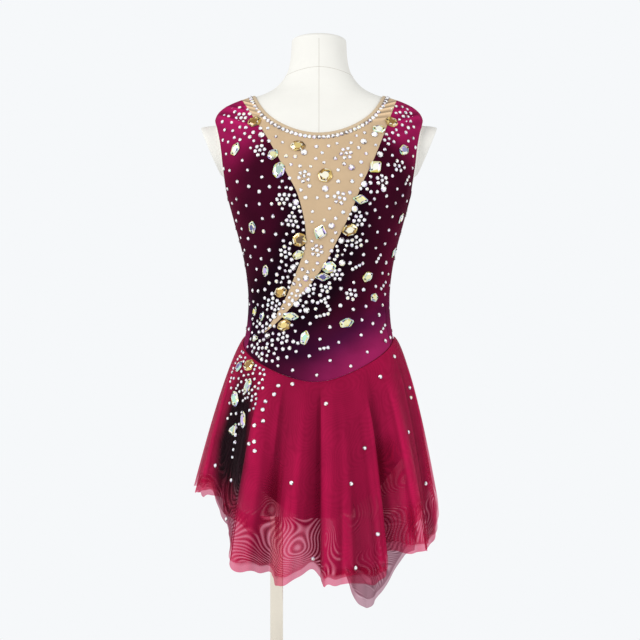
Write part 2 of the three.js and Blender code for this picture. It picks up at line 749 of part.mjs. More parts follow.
// A short rounded stump at the shoulder, its end slanted.
function stub(side) {
  const rings = [
    { x: 128, slant: 0, middle: 1281, tall: 52, deep: 41 },
    { x: 163, slant: 0.2, middle: 1284, tall: 46, deep: 42 },
    { x: 181, slant: 0.4, middle: 1286, tall: 41, deep: 40 },
    { x: 184, slant: 0.42, middle: 1286, tall: 36, deep: 35 },
  ];
  const points = rings.flatMap(({ x, slant, middle, tall, deep }) =>
    steps(0, 360, STUB_SIDES)
      .slice(1)
      .map((step) => {
        const rise = tall * Math.sin(rad(step));
        return new THREE.Vector3(x + slant * rise, deep * Math.cos(rad(step)), middle + rise);
      }),
  );
  const solid = toSolid(stackOf(points, STUB_SIDES));
  return side > 0 ? solid : solid.mirror([1, 0, 0]);
}

function torso() {
  const angles = steps(-180, 180, TORSO_SIDES).slice(1);
  const last = BODY[BODY.length - 1];
  const dome = [
    { z: last.z + 6, size: 0.82 },
    { z: last.z + 9, size: 0.45 },
  ];
  const ring = (z, from, size) =>
    angles.map((angle) => polar(angle, (bodyRadius(angle, from) - FORM_EASE) * size, z));
  const points = [
    ...BODY.flatMap(({ z }) => ring(z, z, 1)),
    ...dome.flatMap(({ z, size }) => ring(z, last.z, size)),
  ];
  const bore = standCylinder(POLE_RADIUS + 0.35, FORM_BOTTOM - 5, FORM_BOTTOM + POLE_DEPTH + 0.4);
  return fromSolid(
    toSolid(stackOf(points, TORSO_SIDES)).add(stub(1)).add(stub(-1)).subtract(toSolid(bore)),
  );
}

// An upright cylinder on the pole's axis.
function standCylinder(radius, low, high) {
  return new THREE.CylinderGeometry(radius, radius, high - low, 20)
    .rotateX(Math.PI / 2)
    .translate(POLE_X, 0, (low + high) / 2);
}

function base() {
  const edge = 3;
  const profile = [
    [0, 0],
    [BASE_RADIUS - 1, 0],
    [BASE_RADIUS, 1],
    [BASE_RADIUS, BASE_THICK - edge],
    [BASE_RADIUS - edge, BASE_THICK],
    [0, BASE_THICK],
  ].map(([r, z]) => new THREE.Vector2(r, z));
  const disc = new THREE.LatheGeometry(profile, 40).rotateX(Math.PI / 2);
  const hub = standCylinder(HUB_RADIUS, BASE_THICK / 2, HUB_TOP);
  const socket = standCylinder(POLE_RADIUS + 0.35, BASE_THICK - 2, HUB_TOP + 5);
  return fromSolid(toSolid(disc).add(toSolid(hub)).subtract(toSolid(socket)));
}

// ---------- the object ----------
const COLOURS = {
  wine: { color: 0x5a1036, roughness: 0.72, metalness: 0 },
  nude: { color: 0xd3b896, roughness: 0.8, metalness: 0 },
  crimson: { color: 0x961a44, roughness: 0.78, metalness: 0 },
  form: { color: 0xe6e2d8, roughness: 0.9, metalness: 0 },
  chrome: { color: 0xc9c6be, roughness: 0.18, metalness: 1 },
};

const dress = new THREE.Group();
dress.name = "figure_skating_dress_on_form";

function piece(name, geometry, colour) {
  geometry.computeVertexNormals();
  const mesh = new THREE.Mesh(geometry, new THREE.MeshStandardMaterial(COLOURS[colour]));
  mesh.name = name;
  dress.add(mesh);
}

piece("bodice_front", bodiceFront(), "wine");
piece("front_mesh_inset", frontInset(), "nude");
piece("bodice_back", fromSolid(backCloth), "wine");
piece("neck_binding", neckBinding(), "nude");
piece("briefs", briefs(), "crimson");
piece("skirt_front_upper", skirtFrontUpper(), "crimson");
piece("skirt_back_upper", skirtLayer(90, 270, false), "crimson");
piece("skirt_front_under", skirtLayer(-90, 90, true), "crimson");
piece("skirt_back_under", skirtLayer(90, 270, true), "crimson");
piece("form_torso", torso(), "form");
piece("stand_pole", standCylinder(POLE_RADIUS, BASE_THICK - 1.7, FORM_BOTTOM + POLE_DEPTH), "chrome");
piece("stand_base", base(), "chrome");

export default dress;
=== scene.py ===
# %% [markdown]
# # A figure skating dress on its form
#
# A skating dress is sewn from stretch cloth, cut close like a second skin, with a short skirt of
# thin mesh and hundreds of glued or sewn stones. Here it stands on a limbless dress form.
# Every cloth surface below is worked out from two numbers: an angle round the body (0 at the
# front, 90 at the viewer's right, 180 at the back) and a height. Blender could also drape the
# cloth by simulation, but worn stretch cloth has no slack, so a computed surface fits it better.
# Lengths are in millimetres, as a pattern cutter's, and MM turns them into Blender's metres.

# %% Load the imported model
import math

import bpy
import numpy as np
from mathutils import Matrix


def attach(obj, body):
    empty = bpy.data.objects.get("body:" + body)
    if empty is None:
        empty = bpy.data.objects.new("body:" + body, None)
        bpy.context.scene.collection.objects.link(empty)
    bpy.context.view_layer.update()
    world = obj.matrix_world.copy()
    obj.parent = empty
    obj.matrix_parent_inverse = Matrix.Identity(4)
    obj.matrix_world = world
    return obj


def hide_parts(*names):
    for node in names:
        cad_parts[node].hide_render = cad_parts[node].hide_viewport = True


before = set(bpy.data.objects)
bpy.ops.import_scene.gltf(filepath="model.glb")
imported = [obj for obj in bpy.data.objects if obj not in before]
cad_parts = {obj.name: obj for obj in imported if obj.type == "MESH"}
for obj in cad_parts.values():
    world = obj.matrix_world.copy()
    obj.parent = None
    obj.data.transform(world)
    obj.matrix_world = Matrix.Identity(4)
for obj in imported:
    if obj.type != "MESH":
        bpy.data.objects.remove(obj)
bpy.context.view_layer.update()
MM = 0.001
SEED = 20
draw = np.random.default_rng(SEED)
print("nodes:", sorted(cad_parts))

# %% [markdown]
# ## The camera
#
# A dress looks true when it is seen level with its waist, from a few steps away. The camera comes
# first, so that every later choice of detail can be judged in the render. A long lens from a
# distance keeps the hem from looking wider than it is.

# %% Camera
EYE_HEIGHT = 1000
EYE_DISTANCE = 2000
EYE_ASIDE = 1.7
SEEN_ACROSS = 1088  # how much of the dress's plane fills the frame
SENSOR_ACROSS = 36
SEES_TO = 50  # metres


def add_camera():
    """The lens angle is twice the arctangent of half the seen width over the distance."""
    lens = bpy.data.cameras.new("camera")
    lens.sensor_width = SENSOR_ACROSS
    lens.lens = SENSOR_ACROSS * EYE_DISTANCE / SEEN_ACROSS
    lens.clip_end = SEES_TO
    eye = bpy.data.objects.new("camera", lens)
    eye.location = np.array([EYE_ASIDE, -EYE_DISTANCE, EYE_HEIGHT]) * MM
    eye.rotation_euler = (math.radians(90), 0, 0)
    bpy.context.collection.objects.link(eye)
    bpy.context.scene.camera = eye
    return eye


print("lens:", round(add_camera().data.lens, 1), "mm")

# %% [markdown]
# ## Tables and curves
#
# The dress's sizes are short tables. Between their rows a curve is drawn: a smooth one for the
# body and the cut lines, and one with level crests and valleys for the skirt's folds.


# %% Reading tables
def table(columns, *rows):
    """Rows of plain numbers under named columns, as a dictionary of arrays."""
    return dict(zip(columns.split(), np.array(rows, float).T))


def through(rows, along, column, at):
    """A cubic from row to row whose slope at a row is that of the line between its neighbours."""
    x, y = rows[along], rows[column]
    row = np.arange(len(x))
    low, high = np.maximum(row - 1, 0), np.minimum(row + 1, len(x) - 1)
    slope = (y[high] - y[low]) / (x[high] - x[low])
    at = np.clip(at, x[0], x[-1])
    i = np.clip(np.searchsorted(x, at, side="right") - 1, 0, len(x) - 2)
    width = x[i + 1] - x[i]
    t = (at - x[i]) / width
    rise = (3 - 2 * t) * t**2
    bend = (1 - t) * t * width * ((1 - t) * slope[i] - t * slope[i + 1])
    return y[i] + (y[i + 1] - y[i]) * rise + bend


def smoothstep(low, high, at):
    """0 below low, 1 above high, and 3t^2 - 2t^3 between."""
    t = np.clip((at - low) / (high - low), 0, 1)
    return (3 - 2 * t) * t**2


def mix(a, b, t):
    """a where t is 0, b where it is 1."""
    return a + (b - a) * t


def unit(v):
    """Vectors of length 1."""
    return v / np.maximum(np.linalg.norm(v, axis=-1, keepdims=True), 1e-12)


print("a smooth step at a quarter of its way:", smoothstep(0, 1, 0.25))

# %% [markdown]
# ## The body's surface
#
# A dress form is a stack of sections, each a superellipse: rounder than a box, squarer than an
# ellipse. Its radius at an angle follows from the half width, the depth and the power. The same
# surface carries the form's canvas and, a little further out, every close-fitting piece.

# %% Body sections
BODY = table(
    "z half front back power",
    (676, 130, 69, 82, 2.35),
    (684, 137, 75, 90, 2.35),
    (700, 142, 80, 96, 2.35),
    (730, 148, 84, 104, 2.35),
    (770, 153, 88, 112, 2.35),
    (820, 155, 91, 117, 2.35),
    (860, 152, 93, 115, 2.35),
    (900, 144, 93, 109, 2.3),
    (940, 132, 92, 100, 2.3),
    (974, 123, 90, 91, 2.25),
    (1005, 119, 88, 84, 2.25),
    (1041, 118, 88, 81, 2.25),
    (1082, 122, 92, 83, 2.3),
    (1122, 130, 100, 89, 2.35),
    (1163, 141, 110, 96, 2.45),
    (1204, 152, 117, 101, 2.6),
    (1235, 160, 114, 103, 2.8),
    (1270, 168, 103, 101, 3.0),
    (1300, 173, 91, 94, 3.1),
    (1325, 175, 81, 84, 3.0),
    (1342, 172, 74, 78, 2.9),
    (1354, 162, 68, 72, 2.7),
    (1364, 144, 63, 67, 2.5),
    (1373, 119, 59, 63, 2.3),
    (1380, 98, 57, 60, 2.2),
    (1390, 79, 54, 57, 2.1),
    (1403, 65, 52, 54, 2.05),
    (1421, 54, 51, 52, 2.0),
    (1443, 49, 49, 50, 2.0),
    (1472, 47, 48, 48, 2.0),
)
FORM_EASE = 0.7  # the canvas lies this far inside the sections
CLOTH_IN = 0.4  # close-fitting cloth: its inner face outside them
CLOTH_OUT = 1.9  # and its outer face
SHOULDER = np.linspace(1336, 1421, 400)  # heights of the shoulder's slope
print("body sections:", len(BODY["z"]), "from", BODY["z"][0], "to", BODY["z"][-1], "mm")


# %% Points on the body
def body_radius(angle, z):
    """(|sin a / half|^p + |cos a / depth|^p)^(-1/p), with the front's depth or the back's."""
    half, front, back, power = (through(BODY, "z", c, z) for c in list(BODY)[1:])
    across, along = np.sin(np.radians(angle)), np.cos(np.radians(angle))
    deep = np.abs(along) / np.where(along > 0, front, back)
    return ((np.abs(across) / half) ** power + deep**power) ** (-1 / power)


def polar(angle, r, z):
    """The point at an angle, a distance from the middle line and a height."""
    a = np.radians(angle)
    return np.stack(np.broadcast_arrays(r * np.sin(a), -r * np.cos(a), z), -1)


def normal_of(surface, angle, down, step=0.5):
    """The cross product of the surface's two directions, each taken over a small step."""
    sideways = surface(angle + step, down) - surface(angle - step, down)
    downwards = surface(angle, down + 2 * step) - surface(angle, down - 2 * step)
    return -unit(np.cross(sideways, downwards))


def on_body(angle, z):
    """Points of the body's surface and their outward normals."""

    def point(at, down):
        return polar(at, body_radius(at, -down), -down)

    return point(angle, -z), normal_of(point, angle, -z)


def angle_at(x, z, back=False):
    """The angle of the body's point seen at x and z, from the front or from behind."""
    columns = ("half", "back" if back else "front", "power")
    half, depth, power = (through(BODY, "z", column, z) for column in columns)
    share = np.minimum(np.abs(x) / half, 1)
    y = depth * (1 - share**power) ** (1 / power)
    return np.degrees(np.arctan2(x, -y if back else y))


def ridge(x):
    """Height of the shoulder at a distance out from the middle line."""
    half = through(BODY, "z", "half", SHOULDER)
    return np.interp(np.abs(x), half[::-1], SHOULDER[::-1])


print("neck and shoulder half widths:", BODY["half"][-1], BODY["half"].max(), "mm")

# %% [markdown]
# ## From arrays to meshes
#
# Points and faces go into a mesh as whole arrays. The cloth's colour changes from place to
# place, as it is dyed before it is cut, so it travels with the points as a colour attribute.


# %% Mesh maker
def add_colour(mesh, name, values):
    """A colour attribute on the points. An alpha of 1 is added where none is given."""
    if values.shape[1] == 3:
        values = np.hstack([values, np.ones((len(values), 1))])
    made = mesh.color_attributes.new(name, "FLOAT_COLOR", "POINT")
    made.data.foreach_set("color", values.astype(np.float32).ravel())


def new_piece(name, points, faces, finish, dye=None, flat_uv=None, sharp=40):
    """One object at the origin. points in millimetres, faces a list of index lists. Edges that
    turn by more than sharp degrees are drawn sharp, and 0 leaves them all smooth."""
    mesh = bpy.data.meshes.new(name)
    mesh.from_pydata((points * MM).tolist(), [], faces)
    mesh.polygons.foreach_set("use_smooth", np.ones(len(mesh.polygons), bool))
    if sharp:
        mesh.set_sharp_from_angle(angle=math.radians(sharp))
    if dye is not None:
        add_colour(mesh, "dye", dye)
    if flat_uv is not None:
        corner = np.empty(len(mesh.loops), np.int32)
        mesh.loops.foreach_get("vertex_index", corner)
        mesh.uv_layers.new(name="cut").data.foreach_set("uv", (flat_uv[corner] * MM).ravel())
    mesh.materials.append(finish)
    piece = bpy.data.objects.new(name, mesh)
    bpy.context.collection.objects.link(piece)
    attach(piece, "root")
    print(name, len(mesh.vertices), "points", len(mesh.polygons), "faces")
    return piece


def grid_faces(rows, columns, closed=False):
    """The quads of a grid of points stored row after row. closed joins the last column to the
    first."""
    i = np.arange(rows * columns).reshape(rows, columns)
    if closed:
        i = np.hstack([i, i[:, :1]])
    quads = np.stack([i[:-1, :-1], i[:-1, 1:], i[1:, 1:], i[1:, :-1]], -1)
    return quads.reshape(-1, 4)


def lathe_faces(rows, columns, start=0):
    """Quads round a closed stack of rings, with a cap on the first and on the last."""
    quads = (grid_faces(rows, columns, closed=True) + start).tolist()
    last = start + (rows - 1) * columns
    return quads + [list(range(start, start + columns))[::-1], list(range(last, last + columns))]


print("three rings of four corners, closed:", len(lathe_faces(3, 4)), "faces")

# %% [markdown]
# ## Cutting cloth
#
# A tailor lays the cloth out and cuts along a line. Here the cloth is a fine net of triangles
# over angle and height, and each line is a value that is zero on it: the net is cut where the
# value changes sign. Booleans would do it too, but this keeps the edges smooth and is quick.


# %% Nets
FINE_ABOVE = 1290


def net(first, last, low, high, step=3.0, turn=1.0):
    """A net over angle and height. Heights are spaced evenly along the body's side profile, and
    twice as close at the shoulders, where the creases are fine."""
    z = np.linspace(low, high, 900)
    run = np.hypot(np.diff(z), np.diff(through(BODY, "z", "half", z)))
    run = run * np.where(z[1:] > FINE_ABOVE, 2, 1)
    length = np.concatenate([[0], np.cumsum(run)])
    heights = np.interp(np.linspace(0, length[-1], int(length[-1] / step) + 2), length, z)
    angles = np.linspace(first, last, int((last - first) / turn) + 2)
    places = np.stack(np.meshgrid(angles, heights), -1).reshape(-1, 2)
    quads = grid_faces(len(heights), len(angles))
    return places, np.vstack([quads[:, [0, 1, 2]], quads[:, [0, 2, 3]]])


def trim(cloth, value):
    """The part of a net where value is above zero. A triangle across the line is cut where the
    value, taken as even along each side, is zero."""
    places, tris = cloth
    v = value(*places.T)
    v = np.where(np.abs(v) < 1e-6, 1e-6, v)
    inside = v[tris] > 0
    count = inside.sum(1)
    mixed = (count == 1) | (count == 2)
    odd = np.where(count[mixed] == 1, inside[mixed].argmax(1), (~inside[mixed]).argmax(1))
    t = np.take_along_axis(tris[mixed], (odd[:, None] + np.arange(3)) % 3, 1)
    sides = np.sort(np.vstack([t[:, [0, 1]], t[:, [0, 2]]]), 1)
    crossed, which = np.unique(sides, axis=0, return_inverse=True)
    a, b = crossed.T
    at = (v[a] / (v[a] - v[b]))[:, None]
    new = which.reshape(2, -1) + len(places)
    one = count[mixed] == 1
    corner = np.stack([t[:, 0], new[0], new[1]], 1)[one]
    strip = np.stack([new[0], t[:, 1], t[:, 2], new[1]], 1)[~one]
    kept = np.vstack([tris[count == 3], corner, strip[:, [0, 1, 2]], strip[:, [0, 2, 3]]])
    used, kept = np.unique(kept, return_inverse=True)
    return np.vstack([places, mix(places[a], places[b], at)])[used], kept.reshape(-1, 3)


def sewn(*nets):
    """Several nets as one, with points at one place joined."""
    start = np.cumsum([0] + [len(n[0]) for n in nets[:-1]])
    places = np.vstack([n[0] for n in nets])
    tris = np.vstack([n[1] + s for n, s in zip(nets, start)])
    _, first, which = np.unique(np.round(places, 4), axis=0, return_index=True, return_inverse=True)
    return places[first], which.reshape(-1)[tris]


def wall(cloth, surface, inside, outside):
    """Points and faces of a wall of cloth: the net on both of its faces, and a rim that closes
    it."""
    places, tris = cloth
    p, n = surface(*places.T)
    count = len(places)
    sides = np.vstack([tris[:, [0, 1]], tris[:, [1, 2]], tris[:, [2, 0]]])
    key, back = sides @ [count, 1], sides @ [1, count]
    rim = sides[~np.isin(key, back)]
    rim = np.stack([rim[:, 1], rim[:, 0], rim[:, 0] + count, rim[:, 1] + count], 1)
    points = np.vstack([p + n * np.reshape(outside, (-1, 1)), p + n * inside])
    return points, tris.tolist() + (tris[:, ::-1] + count).tolist() + rim.tolist()


print("a net from hip to waist in front:", len(net(-90, 90, 900, 1000)[1]), "triangles")

# %% [markdown]
# ## The cut of the dress
#
# The bodice has a front and a back panel. A V of nude mesh is let into the front, and its tip
# swings to one hip. The waist seam hangs in a rounded arc, and the armholes are cut deep.

# %% Cut lines
SEAM_GAP = 0.4
NECK_HALF = 107
NECK_FRONT = 1304
NECK_BACK = 1318
NECK_ROUND, NECK_CURL, CURL_SHARE = 2, 9, 0.3
BINDING_WIDTH = 6
SEAM_SIDE, SEAM_FRONT, SEAM_BACK = 973, 900, 926
SEAM_ROUND = 1.2
SEAM_TURN = -4
INSET_TIP = 976
INSET_LEFT = table(
    "x z",
    (-92, 976), (-76, 998), (-56, 1032), (-36, 1080), (-23, 1118), (-22, 1150), (-34, 1201),
    (-51, 1234), (-72, 1274), (-89, 1304), (-109, 1334), (-119, 1350), (-125, 1360), (-130, 1369),
)
INSET_RIGHT = table(
    "x z",
    (-92, 976), (-72, 992), (-50, 1015), (-20, 1050), (9, 1090), (30, 1130), (52, 1176),
    (69, 1218), (87, 1256), (101, 1290), (118, 1336), (124, 1351), (127, 1360), (131, 1369),
)
ARMHOLE = table(
    "y z",
    (-32, 1217), (-10, 1210), (14, 1220), (36, 1243), (46, 1278), (41, 1311), (24, 1332),
    (0, 1341), (-25, 1333), (-45, 1312), (-55, 1279), (-49, 1243),
)
ARMHOLE_MIDDLE = (-5, 1276)
ARM_FROM = 100  # the armhole cuts only cloth farther out than this
SIDE_SEAM = table("y z", (-41, 880), (-41, 970), (-36, 1095), (-31, 1216), (0, 1341), (0, 1600))
TIP_FADE = 6  # over this height the seam's gap opens from the inset's tip
TIP_CUT = 4  # the mesh ends this far above the tip
print("the inset is", INSET_RIGHT["x"][-1] - INSET_LEFT["x"][-1], "mm wide at the shoulders")

# %% Distances to the cut lines
def seam_height(angle):
    """The waist seam: SEAM_SIDE less a dip that goes as |cos a| to the power SEAM_ROUND."""
    along = np.cos(np.radians(angle - SEAM_TURN))
    low = np.where(along > 0, SEAM_FRONT, SEAM_BACK)
    return SEAM_SIDE - (SEAM_SIDE - low) * np.abs(along) ** SEAM_ROUND


def round_loop(rows, count=160):
    """A closed smooth curve through the rows: a cubic in the row's number, run past both ends."""
    number = np.arange(-2, len(rows["y"]) + 3)
    turns = {"k": number.astype(float), **{c: rows[c][number % len(rows["y"])] for c in "yz"}}
    at = np.linspace(0, len(rows["y"]), count, endpoint=False)
    return np.stack([through(turns, "k", c, at) for c in "yz"], 1)


HOLE = round_loop(ARMHOLE) - ARMHOLE_MIDDLE
HOLE_TURN = np.arctan2(HOLE[:, 1], HOLE[:, 0])
HOLE_REACH = np.hypot(*HOLE.T)


def past_armhole(angle, z):
    """Distance beyond the armhole's edge, measured from its middle in the side view."""
    x, y, z = polar(angle, body_radius(angle, z), z).T
    y, z = y - ARMHOLE_MIDDLE[0], z - ARMHOLE_MIDDLE[1]
    edge = np.interp(np.arctan2(z, y), HOLE_TURN, HOLE_REACH, period=2 * math.pi)
    return np.where(np.abs(x) > ARM_FROM, np.hypot(y, z) - edge, 99)


def past_side_seam(angle, z, back):
    """Distance in front of the side seam, or behind it."""
    y = polar(angle, body_radius(angle, z), z)[..., 1]
    seam = np.interp(z, SIDE_SEAM["z"], SIDE_SEAM["y"])
    return (y - seam if back else seam - y) - SEAM_GAP / 2


def neck_height(side, out, back):
    """Height of the neck's edge, moved out from the opening, at a share of its half width: it
    rises from the middle as the square, and curls up at the ends as a ninth power."""
    side = np.abs(side)
    bottom = np.where(back, NECK_BACK, NECK_FRONT) - out
    rise = mix(side**NECK_ROUND, side**NECK_CURL, CURL_SHARE)
    return bottom + (ridge(NECK_HALF + out) - bottom) * rise


def below_neck(angle, z, out, back=False):
    """Height below the scoop of the neck, whose edge is out further from the opening."""
    x = polar(angle, body_radius(angle, z), z)[..., 0]
    return neck_height(x / (NECK_HALF + out), out, back) - z


def right_of(rows, angle, z, gap=0):
    """Distance to the right of one edge of the inset, with a gap that grows from its tip."""
    x = polar(angle, body_radius(angle, z), z)[..., 0]
    return x - through(rows, "z", "x", z) - gap * np.clip((z - INSET_TIP) / TIP_FADE, 0, 1)


print("the waist seam dips", round(float(SEAM_SIDE - seam_height(0.0))), "mm in front")


# %% Cutting the bodice
def bodice_net(back):
    """The cloth of one side of the bodice, from the waist seam to the shoulders."""
    cloth = net(60, 300, 905, 1400) if back else net(-100, 100, 880, 1400)
    for value in (
        lambda a, z: z - seam_height(a),
        past_armhole,
        lambda a, z: past_side_seam(a, z, back),
        lambda a, z: below_neck(a, z, BINDING_WIDTH + SEAM_GAP, back),
    ):
        cloth = trim(cloth, value)
    return cloth


FRONT_NET = bodice_net(False)
BACK_NET = bodice_net(True)
LEFT_NET = trim(FRONT_NET, lambda a, z: -right_of(INSET_LEFT, a, z, -SEAM_GAP / 2))
RIGHT_NET = trim(FRONT_NET, lambda a, z: right_of(INSET_RIGHT, a, z, SEAM_GAP / 2))
INSET_NET = trim(FRONT_NET, lambda a, z: right_of(INSET_LEFT, a, z, SEAM_GAP / 2))
INSET_NET = trim(INSET_NET, lambda a, z: -right_of(INSET_RIGHT, a, z, -SEAM_GAP / 2))
INSET_NET = trim(INSET_NET, lambda a, z: z - INSET_TIP - TIP_CUT)
print("triangles:", [len(n[1]) for n in (LEFT_NET, RIGHT_NET, INSET_NET, BACK_NET)])

# %% [markdown]
# ## Creases
#
# Close cloth still has a few soft lines: pulls at the shoulders where the mesh is gathered into
# the seam, a long shaping seam on each side of the front, and small rolls at the waist. Each is
# one row: a line from one place to another, a height out of the cloth and a width.

# %% Crease tables
FRONT_CREASES = table(
    "x0 z0 x1 z1 rise width",
    (-71, 1148, -93, 1048, -0.9, 2.6),
    (-62, 1200, -71, 1148, -0.5, 4.0),
    (113, 1004, 104, 966, -0.8, 3.0),
    (-126, 1360, -101, 1351, 2.2, 2.0),
    (-121, 1351, -97, 1343, 2.4, 2.0),
    (-115, 1342, -93, 1335, 2.2, 2.1),
    (-108, 1333, -90, 1327, 1.5, 2.4),
    (127, 1359, 103, 1350, 2.2, 2.0),
    (122, 1349, 98, 1342, 2.4, 2.0),
    (117, 1339, 94, 1334, 2.2, 2.2),
    (111, 1329, 90, 1326, 1.5, 2.4),
    (-160, 1346, -120, 1334, -1.1, 3.0),
    (-162, 1337, -116, 1318, 2.6, 3.6),
    (-152, 1353, -126, 1344, 2.0, 2.8),
    (-164, 1322, -128, 1300, -1.0, 4.6),
    (160, 1346, 124, 1333, -1.1, 3.0),
    (162, 1337, 122, 1320, 2.5, 3.6),
    (152, 1351, 130, 1344, 1.2, 3.0),
    (166, 1322, 132, 1302, 1.0, 4.6),
    (152, 1262, 139, 1196, 1.0, 2.4),
    (161, 1258, 147, 1190, -0.9, 2.4),
    (-104, 1052, -120, 1040, 0.8, 4.0),
    (-100, 1030, -118, 1022, -0.7, 3.6),
    (96, 1046, 117, 1036, 0.8, 4.2),
    (92, 1022, 116, 1014, -0.6, 4.0),
    (-120, 1176, -104, 1190, 0.7, 6.0),
    (124, 1180, 108, 1196, 0.7, 6.0),
    (-128, 1206, -108, 1216, -0.7, 5.0),
    (132, 1204, 112, 1218, -0.7, 5.0),
    (-60, 940, 20, 925, 0.5, 7.0),
    (30, 936, 88, 952, 0.5, 7.0),
)
BACK_CREASES = table(
    "x0 z0 x1 z1 rise width",
    (-120, 1334, -98, 1306, 1.2, 4.2),
    (-108, 1338, -84, 1316, -0.8, 3.6),
    (118, 1336, 96, 1310, 1.1, 4.0),
    (104, 1338, 86, 1318, -0.8, 3.4),
    (-14, 1070, -92, 1058, 0.9, 5.0),
    (8, 1046, -84, 1034, -0.8, 5.0),
    (18, 1064, 90, 1050, 0.9, 5.4),
    (10, 1030, 82, 1024, -0.7, 4.6),
    (-8, 1014, -70, 1006, 0.7, 5.0),
    (-64, 1230, -70, 1090, -0.6, 3.0),
    (62, 1232, 70, 1088, -0.6, 3.0),
)


def creases(rows, x, z):
    """The sum over the rows of rise times a bell curve of the distance to the row's line."""
    start = np.stack([rows["x0"], rows["z0"]], 1)
    run = np.stack([rows["x1"], rows["z1"]], 1) - start
    away = np.stack([x, z], 1)[:, None] - start
    t = np.clip((away * run).sum(-1) / (run**2).sum(-1), 0, 1)
    gap = np.linalg.norm(away - t[..., None] * run, axis=-1)
    return (rows["rise"] * np.exp(-((gap / rows["width"]) ** 2))).sum(1)


print("the highest crease:", FRONT_CREASES["rise"].max(), "mm")

# %% [markdown]
# ## Dyes
#
# The stretch cloth is dyed in an ombre: wine at the shoulders and sides, almost black along the
# inset, and a band of purple and magenta above the waist seam. Six dyes are laid over each other
# with soft masks. The masks are distances, so the same rule colours the back without a second
# pattern. A painted texture would also do, but it would have to be a file.


# %% Dye rules
def linear(red, green, blue):
    """A display colour, 0 to 255, as the linear values that a shader needs."""
    c = np.array([red, green, blue]) / 255
    return np.where(c <= 0.04045, c / 12.92, ((c + 0.055) / 1.055) ** 2.4)


WINE = linear(152, 24, 80)
DEEP_WINE = linear(98, 9, 46)
DARK_WINE = linear(58, 7, 30)
PLUM_BLACK = linear(24, 5, 17)
PURPLE = linear(74, 18, 62)
MAGENTA = linear(150, 32, 86)
DYE_REACH = table(
    "z black dark",
    (900, 90, 190), (1037, 66, 134), (1123, 54, 118), (1184, 30, 112), (1235, -4, 84),
    (1280, -40, 34), (1330, -80, -50),
)
DARK_SOFT, BLACK_SOFT = 30, 24  # half widths of the borders between the dyes
BACK_MIDDLE = 12  # the black's line behind
WINE_TOP, WINE_FOOT = 1325, 1215  # the wine deepens from the one to the other
RIGHT_SIDE_PALER = 28  # by this much the dark's border draws in at the right side
PURPLE_FROM, PURPLE_FULL = 110, 40  # heights above the waist seam
MAGENTA_FROM, MAGENTA_FULL = (36, 72), 6  # at the dark hip, and at the other one
BEHIND_SHARE = 0.6


def bodice_dye(angle, z):
    """Wine, then dark wine, then plum black by distance to the inset, or to the back's middle,
    and purple and magenta by height above the waist seam."""
    x = polar(angle, body_radius(angle, z), z)[..., 0]
    front = np.cos(np.radians(angle)) > 0
    left, right = (through(rows, "z", "x", z) for rows in (INSET_LEFT, INSET_RIGHT))
    to_inset = np.where(x < (left + right) / 2, left - x, x - right)
    away = np.where(front, to_inset, np.abs(x) - BACK_MIDDLE)
    black, dark = (np.interp(z, DYE_REACH["z"], DYE_REACH[c]) for c in ("black", "dark"))
    dark = dark - RIGHT_SIDE_PALER * smoothstep(50, 110, x) * smoothstep(1230, 1150, z)
    above = z - seam_height(angle)
    aside = smoothstep(-80, 70, x) if front.all() else BEHIND_SHARE
    purple = smoothstep(PURPLE_FROM, PURPLE_FULL, above) * mix(0.1, 0.8, aside)
    magenta = smoothstep(mix(*MAGENTA_FROM, aside), MAGENTA_FULL, above) * mix(0.08, 1, aside)
    cloth = WINE
    for dye, share in (
        (DEEP_WINE, smoothstep(WINE_TOP, WINE_FOOT, z)),
        (DARK_WINE, smoothstep(dark + DARK_SOFT, dark - DARK_SOFT, away)),
        (PLUM_BLACK, smoothstep(black + BLACK_SOFT, black - BLACK_SOFT, away)),
        (PURPLE, purple),
        (MAGENTA, magenta),
    ):
        cloth = mix(cloth, dye, share[..., None])
    return cloth


print("magenta:", MAGENTA.round(3))

# %% [markdown]
# ## Finishes
#
# A material here is a Principled shader with its plain values on its own sockets, and a few
# nodes for what changes over the surface: the dye, a slight unevenness, and the knit as a bump.
# Image textures could carry a real knit, but a pattern worked out from the cut needs no file.


# %% Node helpers
def finish(name, values):
    """A material with one Principled shader and these values on its sockets."""
    made = bpy.data.materials.new(name)
    made.use_nodes = True
    for socket, value in values.items():
        made.node_tree.nodes["Principled BSDF"].inputs[socket].default_value = value
    return made


def node(made, kind, inputs=None, **settings):
    """A node with its settings, its inputs set to a value or joined to a socket."""
    new = made.node_tree.nodes.new(kind)
    for name, value in settings.items():
        setattr(new, name, value)
    for key, value in (inputs or {}).items():
        if isinstance(value, bpy.types.NodeSocket):
            made.node_tree.links.new(value, new.inputs[key])
        else:
            new.inputs[key].default_value = value
    return new


def join(made, output, socket):
    """Join a node's output to a socket of the Principled shader."""
    made.node_tree.links.new(output, made.node_tree.nodes["Principled BSDF"].inputs[socket])


def maths(made, operation, *values, **settings):
    """The output of a Math node for these values or sockets."""
    inputs = dict(enumerate(values))
    return node(made, "ShaderNodeMath", inputs, operation=operation, **settings).outputs[0]


print("helpers:", [helper.__name__ for helper in (finish, node, join, maths)])

# %% [markdown]
# ## Unevenness and knit
#
# No dyed cloth is quite even, and a stretch knit is a fine lattice of ribs. A cloudy noise scales
# the colour by a few per cent, and two crossed waves raise a bump of a tenth of a millimetre.
# The ribs are finer than a point of the mesh, so a bump serves where geometry would be wasted.

# %% Unevenness and knit
CLOUD_LOW, CLOUD_HIGH = 0.3, 0.7  # where most of a noise's values lie
DYE_CLOUDS, PLAIN_CLOUDS = 26, 18  # clouds per metre, about
WAVE_LENGTH = 0.31  # metres, of Blender's wave at a scale of 1
RIB_TURN = 0.6
RIB_WANDER = 0.4
KNIT_STRENGTH = 0.6


